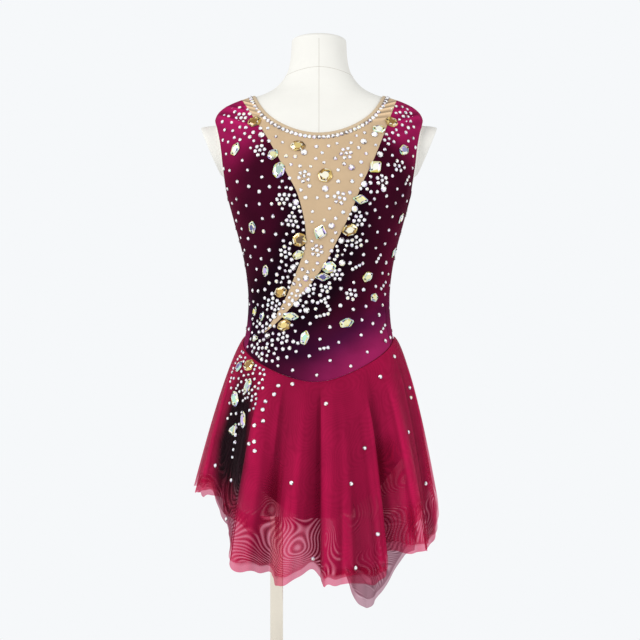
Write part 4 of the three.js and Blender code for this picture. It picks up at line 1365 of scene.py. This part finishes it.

# %% [markdown]
# ## Where the small stones go
#
# A stoner works from the large ones outwards: crowded along the inset's edges and down to the
# hip, sparse elsewhere. So the scatter is drawn by chance, with a spacing that grows away from
# the edges: a place is taken only if it is clear of all that were taken before it.

# %% Listed motifs
FLOWERS = table(
    "x z",
    (-127, 1331), (-95, 1274), (-24, 1230), (44, 1268), (129, 1250), (33, 1196), (-59, 1194),
    (101, 1225), (-44, 1160), (64, 1161), (-54, 1111), (-3, 1113), (60, 1126), (29, 1074),
    (11, 1054), (52, 1042), (-75, 1028), (-58, 971), (146, 1334),
)
ROUNDS = table(
    "x z",
    (-93, 1300), (-24, 1269), (52, 1244), (72, 1288), (98, 1267), (90, 1301), (10, 1210),
    (-37, 1189), (72, 1218), (103, 1212), (57, 1179), (20, 1152), (36, 1129), (-41, 1086),
    (-21, 1068), (-18, 1049), (-36, 1026), (-20, 1016), (-72, 1007), (37, 1093), (-83, 974),
)
LINES = table(
    "x z turn count",
    (54, 1083, 30, 4), (93, 1096, 60, 3), (-2, 1028, 28, 4), (11, 1028, -60, 3), (-4, 1005, 15, 4),
    (101, 1052, 55, 3), (2, 953, 10, 3), (101, 980, 60, 3), (-30, 1040, 35, 3), (-62, 985, 20, 4),
    (128, 1100, 65, 3), (126, 1046, 60, 3), (-34, 962, 40, 3), (140, 1224, 65, 3),
)
PETAL_REACH = 7.6
PETAL_RADIUS = 3.15
ROUND_RADIUS = 5.2
LINE_PITCH, LINE_RADIUS = 6.4, 3.0
print("flowers:", len(FLOWERS["x"]), "rounds:", len(ROUNDS["x"]), "lines:", len(LINES["x"]))


def motif_places():
    """x, z and radius of every stone in the flowers, the rounds and the short lines."""
    count = len(FLOWERS["x"])
    ring = np.radians(np.arange(6) * 60 + draw.uniform(0, 60, (count, 1)))
    reach = PETAL_REACH * draw.uniform(0.94, 1.16, ring.shape)
    petals = np.stack([np.cos(ring) * reach, np.sin(ring) * reach], -1)
    flower = np.concatenate([np.zeros((count, 1, 2)), petals], 1)
    flowers = (np.stack([FLOWERS["x"], FLOWERS["z"]], 1)[:, None] + flower).reshape(-1, 2)
    rounds = np.stack([ROUNDS["x"], ROUNDS["z"]], 1)
    turns = np.radians(LINES["turn"])
    lines = [
        (x + k * LINE_PITCH * math.cos(t), z + k * LINE_PITCH * math.sin(t))
        for x, z, t, count in zip(LINES["x"], LINES["z"], turns, LINES["count"])
        for k in range(int(count))
    ]
    sets = ((flowers, PETAL_RADIUS), (rounds, ROUND_RADIUS), (lines, LINE_RADIUS))
    sizes = np.concatenate([np.full(len(places), radius) for places, radius in sets])
    return np.vstack([places for places, _ in sets]), sizes


def front_place(x, z, lift=CLOTH_OUT):
    """The cloth's outer face seen from the front at x and z."""
    angle = angle_at(x, z)
    p, n = on_body(angle, z)
    return p + n * lift, n, angle


# %% [markdown]
# ## Large stones
#
# The large stones are sewn on through two holes. Each is a cut outline with a crown of two rows
# of facets, some clear with a rainbow coat, some gold. They sit just off the cloth, as on a
# real dress, where a thread holds each one.

# %% Large stone tables
BODICE_STONES = table(
    "x z long wide turn corners gold",
    (-105, 1323, 21, 17, 20, 6, 1),
    (118, 1323, 20, 17, -20, 6, 1),
    (-135, 1278, 21, 14, 65, 5, 0),
    (137, 1277, 19, 15, 30, 5, 0),
    (-74, 1266, 19, 15, 55, 5, 0),
    (-64, 1240, 25, 18, 80, 6, 0),
    (90, 1246, 23, 19, 40, 4, 0),
    (66, 1194, 23, 14, -8, 4, 0),
    (-107, 1152, 20, 14, 70, 5, 0),
    (49, 1146, 23, 18, 15, 6, 1),
    (-31, 1130, 22, 20, 40, 6, 1),
    (-33, 1106, 18, 13, 30, 5, 0),
    (133, 1169, 18, 11, 65, 4, 0),
    (-86, 1081, 18, 11, 75, 6, 0),
    (16, 1086, 21, 18, 12, 6, 0),
    (6, 1070, 23, 12, 0, 4, 0),
    (78, 1071, 19, 14, 35, 5, 0),
    (122, 1113, 18, 10, 60, 4, 0),
    (-61, 1046, 21, 16, 15, 6, 1),
    (89, 1037, 15, 13, 0, 5, 0),
    (-104, 1014, 15, 9, 70, 5, 0),
    (-92, 1006, 15, 9, 70, 5, 0),
    (-46, 1006, 26, 12, -5, 5, 0),
    (44, 995, 23, 14, 15, 5, 0),
    (-56, 991, 22, 17, 20, 6, 1),
    (-23, 971, 22, 13, 75, 5, 0),
    (-103, 970, 14, 12, 0, 3, 0),
    (-34, 1280, 22, 18, 0, 6, 1),
    (97, 1310, 20, 14, 0, 5, 0),
    (10, 1231, 22, 21, 45, 6, 1),
    (2, 1142, 23, 19, 70, 4, 0),
)
SKIRT_STONES = table(
    "angle drop long wide turn corners gold",
    (-60, 11, 21, 18, 10, 6, 1),
    (-69, 24, 19, 13, 60, 5, 0),
    (-56, 40, 24, 14, 75, 6, 0),
    (-65, 72, 25, 16, -65, 6, 0),
    (-54, 92, 26, 12, -75, 6, 0),
    (-62, 118, 21, 15, 60, 3, 0),
)
STONE_RINGS = table("size lift", (0.95, 0.6), (1.1, 1.6), (0.88, 2.8), (0.55, 3.6))
CORNER_CUT, TRIANGLE_CUT = 0.16, 0.2  # radians to each side of a corner
HOLE_RADIUS, HOLE_AT, HOLE_LIFT, HOLE_DEEP = 1.2, 0.38, 4.1, 1.2
HOLE_SIDES = 6
print("large stones:", len(BODICE_STONES["x"]), "and at the hip:", len(SKIRT_STONES["angle"]))


# %% Cutting large stones
def outline(long, wide, corners):
    """An ellipse's corners, each cut off by a short side: one point a little before it and one
    after it."""
    a = np.radians(np.arange(1, corners + 1) * 360 / corners)
    a = (a[:, None] + np.array([-1, 1]) * (CORNER_CUT if corners > 3 else TRIANGLE_CUT)).ravel()
    return np.stack([long / 2 * np.cos(a), wide / 2 * np.sin(a)], 1)


def large_stones(name, p, n, rows, chosen, made):
    """Rings of the outline at rising heights. The last ring is the table, and each quad between
    rings is split in two, which makes the kite-shaped facets."""
    points, faces, start = [], [], 0
    across, up = side_axes(n)
    for k in np.flatnonzero(chosen):
        shape = outline(rows["long"][k], rows["wide"][k], int(rows["corners"][k]))
        turn = math.radians(rows["turn"][k])
        u = across[k] * math.cos(turn) + up[k] * math.sin(turn)
        v = np.cross(n[k], u)
        sizes, lifts = STONE_RINGS["size"], STONE_RINGS["lift"]
        flat = sizes[:, None, None] * shape
        ring = p[k] + flat[..., :1] * u + flat[..., 1:] * v + lifts[:, None, None] * n[k]
        count = len(shape)
        quads = grid_faces(len(sizes), count, closed=True) + start
        faces += quads[:count].tolist()
        faces += np.vstack([quads[count:, [0, 1, 2]], quads[count:, [0, 2, 3]]]).tolist()
        faces.append([start + (len(sizes) - 1) * count + c for c in range(count)])
        faces.append([start + c for c in range(count)][::-1])
        points.append(ring.reshape(-1, 3))
        start += ring.shape[0] * count
    piece = new_piece(name, np.vstack(points), faces, made, sharp=0)
    # Random tones for the facets: painted glints and painted shade.
    add_tones(piece, draw.uniform(0, 1, len(faces)))
    return piece


def sew_holes(name, p, n, rows):
    """Two eyelets on each stone: near-black prisms of six sides near the ends of its length,
    painted shade for its sewing holes.
    """
    across, up = side_axes(n)
    turn = np.radians(rows["turn"])[:, None]
    u = across * np.cos(turn) + up * np.sin(turn)
    ends = np.concatenate([p + side * HOLE_AT * rows["long"][:, None] * u for side in (-1, 1)])
    n = np.concatenate([n, n])
    axes = np.stack([*side_axes(n), n], 1)
    lifts = (HOLE_LIFT - HOLE_DEEP, HOLE_LIFT)
    eyelet = np.vstack([ring_of(HOLE_SIDES, HOLE_RADIUS, lift) for lift in lifts])
    points = (ends[:, None] + np.einsum("ck,pkx->pcx", eyelet, axes)).reshape(-1, 3)
    starts = range(0, len(points), len(eyelet))
    faces = [face for start in starts for face in lathe_faces(2, HOLE_SIDES, start)]
    return new_piece(name, points, faces, hole_shade, sharp=0)


print("corners of a six-sided outline:", len(outline(20, 15, 6)))

# %% [markdown]
# ## Sewing the large stones on
#
# Coated glass flashes in many colours and gold glass in one, so each has its own ramp of tones,
# and the facets' tones picked from it are painted glints and painted shade. Both are a little
# metallic, for the foil behind them. The thread's two eyelets are small near-black prisms near the
# stone's ends, painted shade for the sewing holes.

# %% Large stones in place
# The eyelets' near-black is painted shade for the sewing holes.
hole_shade = finish("painted hole shade", {"Base Color": (0.02, 0.015, 0.015, 1), "Roughness": 0.5})
COATED = {
    "Roughness": 0.08, "Specular IOR Level": 0.9, "Coat Weight": 0.8, "Coat Roughness": 0.03
}
rainbow_glass = facet_finish(
    "rainbow coated glass",
    [(0, (70, 62, 130)), (0.09, (170, 196, 186)), (0.22, (236, 232, 176)), (0.42, (255, 255, 244)),
     (0.64, (228, 214, 104)), (0.8, (196, 172, 230)), (0.91, (178, 230, 204))],
    {"Metallic": 0.2, **COATED},
)
gold_glass = facet_finish(
    "gold glass",
    [(0, (92, 62, 16)), (0.2, (150, 108, 34)), (0.42, (198, 156, 62)), (0.64, (232, 206, 124)),
     (0.86, (255, 250, 228))],
    {"Metallic": 0.3, **COATED},
)
stone_p, stone_n, _ = front_place(BODICE_STONES["x"], BODICE_STONES["z"])
hip_p, hip_n = on_skirt(SKIRT_STONES["angle"], SKIRT_STONES["drop"])
SEWN = (("bodice", stone_p, stone_n, BODICE_STONES), ("hip", hip_p, hip_n, SKIRT_STONES))
for part, p, n, rows in SEWN:
    large_stones(f"{part}_gold_stones", p, n, rows, rows["gold"] == 1, gold_glass)
    large_stones(f"{part}_rainbow_stones", p, n, rows, rows["gold"] == 0, rainbow_glass)
for part, p, n, rows in SEWN:
    sew_holes(f"{part}_stone_eyelets", p, n, rows)

# %% [markdown]
# ## Scatter
#
# The loose stones fill what the motifs leave. A rule gives the room that a stone keeps at each
# place, and thousands of drawn places are tried in turn. A grid would look like print.

# %% Scatter
BAND_HIGH, BAND_LOW = 27, 42  # the crowded band's width beside the inset, above and at the waist
CLOSEST = 6.4
SPARSE, SPARSE_SHOULDER, SPARSE_SEAM = 19, 10.5, 30
INSET_HIGH, INSET_LOW = 14, 7.2
SWEEP_SHARE = 0.9
FRONT_TRIES, BACK_TRIES = 16000, 5000


def spacing_front(x, z):
    """Distance to keep round a small stone. How crowded a place is falls off as a bell with the
    distance to the inset's edge, or to two middles at the hip, whichever gives more. The distance
    to keep goes from sparse to CLOSEST by it."""
    left, right = (through(rows, "z", "x", z) for rows in (INSET_LEFT, INSET_RIGHT))
    inside = (x > left) & (x < right) & (z > INSET_TIP)
    off_left, off_right = np.maximum(left - x, 0), np.maximum(x - right, 0)
    off = np.where(x < (left + right) / 2, off_left, off_right)
    low = smoothstep(1235, 1195, z)
    band = np.exp(-((off / mix(BAND_HIGH, BAND_LOW, low)) ** 3)) * mix(0.78, 1, low)
    drip = np.exp(-(((x + 98) / 26) ** 2 + ((z - 1000) / 46) ** 2))
    sweep = np.exp(-(((x + 55) / 42) ** 2 + ((z - 965) / 22) ** 2))
    close = np.clip(np.maximum(np.maximum(band, drip), SWEEP_SHARE * sweep), 0, 1)
    close = close * smoothstep(906, 962, z + 0.25 * np.minimum(-x, 90))
    sparse = mix(SPARSE, SPARSE_SHOULDER, smoothstep(1255, 1305, z))
    sparse = mix(sparse, SPARSE_SEAM, smoothstep(990, 955, z) * smoothstep(-30, 10, x))
    outside = mix(sparse, CLOSEST, close)
    return np.where(inside, mix(INSET_HIGH, INSET_LOW, smoothstep(1150, 1030, z)), outside)


def scattered(tries, first, last, low, high, spacing, taken, sizes, allowed):
    """Draw places by angle and height, and keep each that is clear of all kept before it."""
    angle = draw.uniform(first, last, tries)
    z = draw.uniform(low, high, tries)
    p, n = on_body(angle, z)
    keep = allowed(angle, z)
    room = spacing(p[:, 0], z)
    kept_p, kept_room, chosen = list(taken), list(sizes), []
    for k in np.flatnonzero(keep):
        away = np.linalg.norm(np.array(kept_p) - p[k], axis=1)
        if (away > (np.array(kept_room) + room[k]) / 2).all():
            kept_p.append(p[k])
            kept_room.append(room[k])
            chosen.append(k)
    return angle[chosen], z[chosen]


def on_front(angle, z):
    """True on the bodice's front, a stone's width inside all of its edges."""
    return (
        (z > seam_height(angle) + 6)
        & (past_armhole(angle, z) > 5)
        & (past_side_seam(angle, z, False) > 2)
        & (below_neck(angle, z, BINDING_WIDTH + 12) > 0)
    )


# %% The front's small stones
SHOULDER_TOP = 1320  # a flower above this is kept whole
LARGE_SHARE, LARGE_ROOM = 0.95, 3  # the room round a large stone, by its length
MOTIF_ROOM = 6
LOOSE_RADII, LOOSE_SHARES = [2.6, 2.9, 3.3], [0.3, 0.4, 0.3]
motif, motif_size = motif_places()
motif_p, motif_n, motif_angle = front_place(*motif.T)
fits = on_front(motif_angle, motif[:, 1]) | (motif[:, 1] > SHOULDER_TOP)
motif_p, motif_n, motif_size = motif_p[fits], motif_n[fits], motif_size[fits]
big_room = BODICE_STONES["long"] * LARGE_SHARE + LARGE_ROOM
taken = np.vstack([motif_p, stone_p])
room = np.concatenate([motif_size * 2 + 0.2, big_room])
apart = np.array([np.linalg.norm(stone_p - q, axis=1).min() for q in motif_p])
clear = apart > motif_size + MOTIF_ROOM
motif_p, motif_n, motif_size = motif_p[clear], motif_n[clear], motif_size[clear]
loose_angle, loose_z = scattered(
    FRONT_TRIES, -73, 73, 905, 1352, spacing_front, taken, room, on_front
)
loose_p, loose_n = on_body(loose_angle, loose_z)
loose_size = draw.choice(LOOSE_RADII, len(loose_p), p=LOOSE_SHARES)
print("motif stones:", len(motif_p), "scattered stones:", len(loose_p))

# %% [markdown]
# ## Neckline row
#
# One row of even stones follows the binding all the way round. A stoner sets them by eye, one
# beside the other. Here the curve's length is measured first and shared out evenly, so that the
# row closes without a gap.

# %% Neckline row
NECK_PITCH = 7.6
NECK_ROW_OUT = 8.8
NECK_STONE = 3.5


def neckline_row():
    """Places one pitch apart along the curve just outside the binding, all the way round."""
    turn = np.linspace(-180, 180, 1441)
    path, _ = neck_point(turn, np.full_like(turn, NECK_ROW_OUT), np.full_like(turn, CLOTH_OUT))
    length = np.concatenate([[0], np.cumsum(np.linalg.norm(np.diff(path, axis=0), axis=1))])
    count = round(length[-1] / NECK_PITCH)
    at = np.interp(np.arange(count) * length[-1] / count, length, turn)
    return neck_point(at, np.full_like(at, NECK_ROW_OUT), np.full_like(at, CLOTH_OUT))


row_p, row_n = neckline_row()
set_stones("neckline_stones", row_p, row_n, np.full(len(row_p), NECK_STONE), clear_glass)
set_stones(
    "front_small_stones",
    np.vstack([motif_p, loose_p + loose_n * CLOTH_OUT]),
    np.vstack([motif_n, loose_n]),
    np.concatenate([motif_size, loose_size]),
    clear_glass,
)

# %% [markdown]
# ## Stones on the back and the skirt
#
# The back has only a loose scatter, closer at the shoulders. On the skirt a stream of stones runs
# from the hip down the black dye and thins out, and single ones are spread over the mesh. Those
# in front are listed one by one, because the eye would notice a chance gap there.


# %% Back stones
def on_back(angle, z):
    """True on the back panel, a stone's width inside its edges."""
    return (
        (z > seam_height(angle) + 8)
        & (past_armhole(angle, z) > 6)
        & (past_side_seam(angle, z, True) > 4)
        & (below_neck(angle, z, BINDING_WIDTH + 14, True) > 0)
    )


BACK_SPARSE, BACK_CLOSE, WAIST_SHARE = 27, 13, 0.7
BACK_RADII = [2.7, 3.2]
ROW_ROOM = 9.0


def spacing_back(x, z):
    """Close at the shoulders and the middle of the waist, wide between."""
    shoulder = smoothstep(1230, 1330, z)
    waist = np.exp(-((x / 60) ** 2)) * smoothstep(1010, 950, z)
    return mix(BACK_SPARSE, BACK_CLOSE, np.clip(shoulder + WAIST_SHARE * waist, 0, 1))


row_room = np.full(len(row_p), ROW_ROOM)
back_angle, back_z = scattered(
    BACK_TRIES, 62, 298, 930, 1350, spacing_back, row_p, row_room, on_back
)
back_p, back_n = on_body(back_angle, back_z)
back_size = draw.choice(BACK_RADII, len(back_p))
set_stones("back_small_stones", back_p + back_n * CLOTH_OUT, back_n, back_size, clear_glass)

# %% Skirt stones
SKIRT_SPARSE = table(
    "x z",
    (-43, 897), (11, 866), (100, 907), (73, 796), (145, 818), (-43, 742), (51, 742), (152, 872),
    (150, 888), (124, 940), (-103, 806), (-103, 791), (-112, 802), (-136, 823), (-136, 812),
    (-136, 801), (-170, 760), (-142, 740), (-90, 855), (-104, 831), (-150, 678), (93, 662),
    (57, 614), (-10, 624), (176, 730), (-72, 880), (-66, 894), (-86, 868), (-90, 838),
)
HIP_DRIP = table(
    "angle drop",
    (-66, 6), (-58, 24), (-65, 22), (-73, 12), (-62, 30), (-59, 34), (-66, 40), (-71, 46),
    (-52, 24), (-49, 12), (-50, 34), (-60, 52), (-66, 56), (-56, 60), (-50, 56), (-71, 62),
    (-48, 44), (-58, 66),
    (-62, 92), (-69, 84), (-58, 104), (-66, 98), (-57, 84), (-50, 72), (-52, 82), (-60, 136),
    (-60, 148), (-60, 160), (-68, 108), (-47, 66), (-44, 30), (-63, 8), (-75, 26),
)
CROWD_ANGLES, CROWD_DROPS, CROWD_SHIFT = (-74, -45, 3.9), (4, 62, 7.5), 1.3
CLEAR_OF_LARGE, CLEAR_OF_SMALL = 11.5, 5.6
SPARSE_RADIUS, DRIP_RADIUS, BEHIND_RADIUS = 3.3, 2.6, 3.2
BEHIND_COUNT = 26


def skirt_places(x, z):
    """The nearest point of the upper layer, as seen from the front, to each place."""
    angle, drop = np.meshgrid(np.arange(-88, 88.5, 0.5), np.arange(4, 318, 1.5))
    p = skirt_point(angle, drop)
    off = (p[..., 0][None] - x[:, None, None]) ** 2 + (p[..., 2][None] - z[:, None, None]) ** 2
    best = off.reshape(len(x), -1).argmin(1)
    return on_skirt(angle.ravel()[best], drop.ravel()[best])


def hip_stream():
    """The stream's listed places, then a crowd on a shaken grid at its top. Those too near a
    large stone are left out, and those too near one of the places before them."""
    crowd = np.stack(np.meshgrid(np.arange(*CROWD_ANGLES), np.arange(*CROWD_DROPS)), -1)
    crowd = crowd.reshape(-1, 2)
    crowd = crowd + draw.uniform(-CROWD_SHIFT, CROWD_SHIFT, crowd.shape)
    p, n = on_skirt(*np.vstack([np.stack([HIP_DRIP["angle"], HIP_DRIP["drop"]], 1), crowd]).T)
    clear = np.linalg.norm(hip_p[None] - p[:, None], axis=-1).min(1) > CLEAR_OF_LARGE
    p, n = p[clear], n[clear]
    near = np.tril(np.linalg.norm(p[None] - p[:, None], axis=-1) <= CLEAR_OF_SMALL, -1)
    return p[~near.any(1)], n[~near.any(1)]


sparse_p, sparse_n = skirt_places(SKIRT_SPARSE["x"], SKIRT_SPARSE["z"])
drip_p, drip_n = hip_stream()
behind_angle = draw.uniform(100, 262, BEHIND_COUNT)
behind_drop = draw.uniform(20, 0.85 * hem_drop(behind_angle, False))
behind_p, behind_n = on_skirt(behind_angle, behind_drop)
counts = len(sparse_p), len(drip_p), len(behind_p)
set_stones(
    "skirt_small_stones",
    np.vstack([sparse_p, drip_p, behind_p]),
    np.vstack([sparse_n, drip_n, behind_n]),
    np.repeat([SPARSE_RADIUS, DRIP_RADIUS, BEHIND_RADIUS], counts),
    clear_glass,
)

# %% [markdown]
# ## The dress form
#
# The form is padded, covered in cream canvas, and cut off at the neck, the arms and the thighs.
# Its surface is the same stack of sections, a hair inside the cloth. The arm stumps are four
# slanted rings each. Fine seams run down its middle and round its neck.

# %% Canvas
STUBS = table(
    "x slant middle tall deep",
    (128, 0, 1281, 52, 41), (163, 0.2, 1284, 46, 42), (181, 0.4, 1286, 41, 40),
    (184, 0.42, 1286, 36, 35), (184.6, 0.42, 1286, 20, 19), (184.8, 0.42, 1286, 0.5, 0.5),
)
NECK_DOME = 9
WEAVE_FINE, WEAVE_HIGH = 900.0, 0.0002


def stub(side):
    """Rings that lean with the arm: each is an ellipse, sheared by its slant."""
    k = np.linspace(0, 3, 16)
    k = np.concatenate([k, [4, 5]])
    rows = {"k": np.arange(6.0), **STUBS}
    x, slant, middle, tall, deep = (through(rows, "k", c, k)[:, None] for c in STUBS)
    a = np.linspace(0, 2 * math.pi, 64, endpoint=False)[None]
    rise = tall * np.sin(a)
    points = np.stack([side * (x + slant * rise), side * deep * np.cos(a), middle + rise], -1)
    return points.reshape(-1, 3), len(k), a.size


def form_canvas():
    """Body sections at the form's own ease, a domed neck top, a flat underside and two stumps."""
    angle = np.linspace(-180, 180, 181)[:-1]
    low, high = BODY["z"][0], BODY["z"][-1]
    spans = ((low, 1330, 150), (1332, 1420, 70), (1422, high, 18))
    z = np.concatenate([np.linspace(*span) for span in spans])
    dome = np.radians(np.linspace(8, 88, 12))
    size = np.concatenate([[0.02, 0.5, 0.93], np.ones(len(z)), np.cos(dome) ** 0.55])
    shape = np.concatenate([np.full(3, low), z, np.full(len(dome), high)])
    height = np.concatenate([np.full(3, low), z, high + NECK_DOME * np.sin(dome)])
    r = (body_radius(angle[None], shape[:, None]) - FORM_EASE) * size[:, None]
    points = [polar(angle[None], r, height[:, None]).reshape(-1, 3)]
    faces = lathe_faces(len(height), len(angle))
    for side in (-1, 1):
        ring, rows, columns = stub(side)
        faces += lathe_faces(rows, columns, sum(map(len, points)))
        points.append(ring)
    return new_piece("form_canvas", np.vstack(points), faces, canvas)


canvas = finish("cream canvas", {"Roughness": 0.85, "Specular IOR Level": 0.2})
even_dye(canvas, linear(238, 236, 229), 0.975, 1.01)
weave_at = node(canvas, "ShaderNodeTexCoord").outputs["Object"]
weave = node(canvas, "ShaderNodeTexNoise", {"Vector": weave_at, "Scale": WEAVE_FINE, "Detail": 2.0})
raised = {"Height": weave.outputs["Fac"], "Distance": WEAVE_HIGH}
join(canvas, node(canvas, "ShaderNodeBump", raised).outputs[0], "Normal")
torso = form_canvas()
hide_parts("form_torso")

# %% [markdown]
# ## Form seams
#
# The canvas is sewn down the middle, in front and behind, and round the foot of the neck. Each
# seam is a thread half sunk in the canvas: a thin tube along a curve that lies on the body.

# %% Form seams
SEAM_RADIUS, SEAM_SINK = 0.32, 0.05
NECK_SEAM = 1422


def tube(path, radius, sides=8):
    """A round profile carried along a path, on two directions across it."""
    along = unit(np.gradient(path, axis=0))
    side = unit(np.cross(along, [0.31, 0.17, 0.93]))
    up = np.cross(along, side)
    a = np.linspace(0, 2 * math.pi, sides, endpoint=False)
    ring = np.cos(a)[:, None] * side[:, None] + np.sin(a)[:, None] * up[:, None]
    points = (path[:, None] + radius * ring).reshape(-1, 3)
    return points, lathe_faces(len(path), sides)


def form_seams():
    """Middle line in front and behind, and a ring where the neck begins."""
    z = np.linspace(1290, 1468, 90)
    lines = [on_body(np.full(90, a), z)[0] for a in (0, 180)]
    round_neck = np.linspace(-178, 178, 120)
    turn = np.radians(round_neck)
    level = NECK_SEAM - 2 * np.cos(turn) - 10 * np.sin(turn) ** 2
    lines.append(on_body(round_neck, level)[0])
    points, faces = [], []
    for line in lines:
        p, f = tube(line - unit(line * [1, 1, 0]) * (FORM_EASE + SEAM_SINK), SEAM_RADIUS)
        faces += [[c + sum(map(len, points)) for c in face] for face in f]
        points.append(p)
    return new_piece("form_seams", np.vstack(points), faces, seam_thread)


seam_thread = finish("canvas seam", {"Roughness": 0.9})
even_dye(seam_thread, linear(196, 190, 178), 0.9, 1.05)
form_seams()

# %% [markdown]
# ## Pole and base
#
# The form stands on a bright steel pole in a round base. Each is a profile turned round its axis,
# as on a lathe. Blender's own cylinders would do too, but a profile also gives the rounded rim.

# %% Stand
POLE_X = -72
POLE_RADIUS = 11
POLE_TOP = 736
BASE_RADIUS = 180
BASE_THICK = 8
HUB_RADIUS, HUB_TOP = 19, 34
RIM = 3  # radius of the base's rounded rim


def turned(name, profile, x, made, slot, columns=96):
    """Rings of the profile's radius and height round an upright axis at x."""
    a = np.linspace(0, 360, columns, endpoint=False)
    r, z = np.array(profile, float).T
    points = (polar(a[None], r[:, None], z[:, None]) + [x, 0, 0]).reshape(-1, 3)
    return new_piece(name, points, lathe_faces(len(r), columns), made, sharp=35)


STEEL = linear(238, 229, 213)
steel = finish("bright steel", {"Metallic": 1.0, "Roughness": 0.24, "Anisotropic": 0.3})
even_dye(steel, STEEL, 0.97, 1.02)
pole_line = [(POLE_RADIUS, BASE_THICK - 1.5), (POLE_RADIUS, POLE_TOP)]
pole = turned("pole", pole_line, POLE_X, steel, "bright_steel")
base_rim = [
    (BASE_RADIUS - RIM + RIM * math.sin(t), BASE_THICK - RIM + RIM * math.cos(t))
    for t in np.linspace(1.57, 0, 6)
]
base_plate = turned(
    "base_plate",
    [(1, 0), (BASE_RADIUS - 1, 0), (BASE_RADIUS, 1), *base_rim, (1, BASE_THICK)],
    0, steel, "bright_steel",
)
turned(
    "pole_socket",
    [(HUB_RADIUS + 2, BASE_THICK - 0.5), (HUB_RADIUS, BASE_THICK + 2), (HUB_RADIUS, HUB_TOP - 2),
     (HUB_RADIUS - 2, HUB_TOP), (POLE_RADIUS + 0.2, HUB_TOP)],
    POLE_X, steel, "bright_steel",
)
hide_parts("stand_pole")
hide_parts("stand_base")

# %% [markdown]
# ## What the cloth pieces are
#
# The bodice is stretched on the form, and the skirt hangs from the waist seam.

# %% Sheets
print("cloth pieces: 9")

# %% [markdown]
# ## Floor and light
#
# A plain pale floor and soft light from all round, with a soft key light from high on one side,
# which gives the folds their shape, and a weaker one from the other side.

# %% Stage
FLOOR_RADIUS = 1500
FLOOR_GREY = (0.86, 0.86, 0.86)
KEY_POWER = 48
FILL_POWER = 13
AIM_HEIGHT = 1.05  # metres
CEILING = 0.5  # strength overhead, against 1 at the walls
WALLS = linear(246, 248, 250)


def add_floor():
    """One round face on the floor."""
    mesh = bpy.data.meshes.new("floor")
    corners = polar(np.linspace(0, 360, 96, endpoint=False), FLOOR_RADIUS, 0.0) * MM
    mesh.from_pydata(corners.tolist(), [], [list(range(96))])
    paint = finish("pale floor", {"Base Color": (*FLOOR_GREY, 1), "Roughness": 0.7})
    mesh.materials.append(paint)
    floor = bpy.data.objects.new("floor", mesh)
    bpy.context.collection.objects.link(floor)


def add_light(name, place, size, power):
    """A soft square light that looks at the waist."""
    lamp = bpy.data.lights.new(name, "AREA")
    lamp.size = size
    lamp.energy = power
    holder = bpy.data.objects.new(name, lamp)
    holder.location = place
    x, y, z = np.array([0, 0, AIM_HEIGHT]) - place
    holder.rotation_euler = (math.atan2(math.hypot(x, y), -z), 0, math.atan2(-x, y))
    bpy.context.collection.objects.link(holder)


def studio():
    """Bright pale walls and a dimmer ceiling: the world's strength falls with the height of the
    direction, so that the light has a shape."""
    world = bpy.data.worlds.new("studio")
    world.use_nodes = True
    place = node(world, "ShaderNodeTexCoord").outputs["Generated"]
    level = maths(world, "ABSOLUTE", node(world, "ShaderNodeSeparateXYZ", {0: place}).outputs["Z"])
    span = {"Value": level, "From Min": 0.32, "From Max": 0.62, "To Min": 1.0, "To Max": CEILING}
    fall = node(world, "ShaderNodeMapRange", span, interpolation_type="SMOOTHSTEP").outputs[0]
    sky = world.node_tree.nodes["Background"]
    world.node_tree.links.new(fall, sky.inputs["Strength"])
    sky.inputs["Color"].default_value = (*WALLS, 1)
    bpy.context.scene.world = world


add_floor()
add_light("key", (-2.1, -2.3, 2.5), 1.4, KEY_POWER)
add_light("fill", (2.4, -1.4, 1.5), 1.6, FILL_POWER)
studio()
bpy.context.scene.view_settings.view_transform = "Standard"
print("lamps:", [lamp.name for lamp in bpy.data.lights])
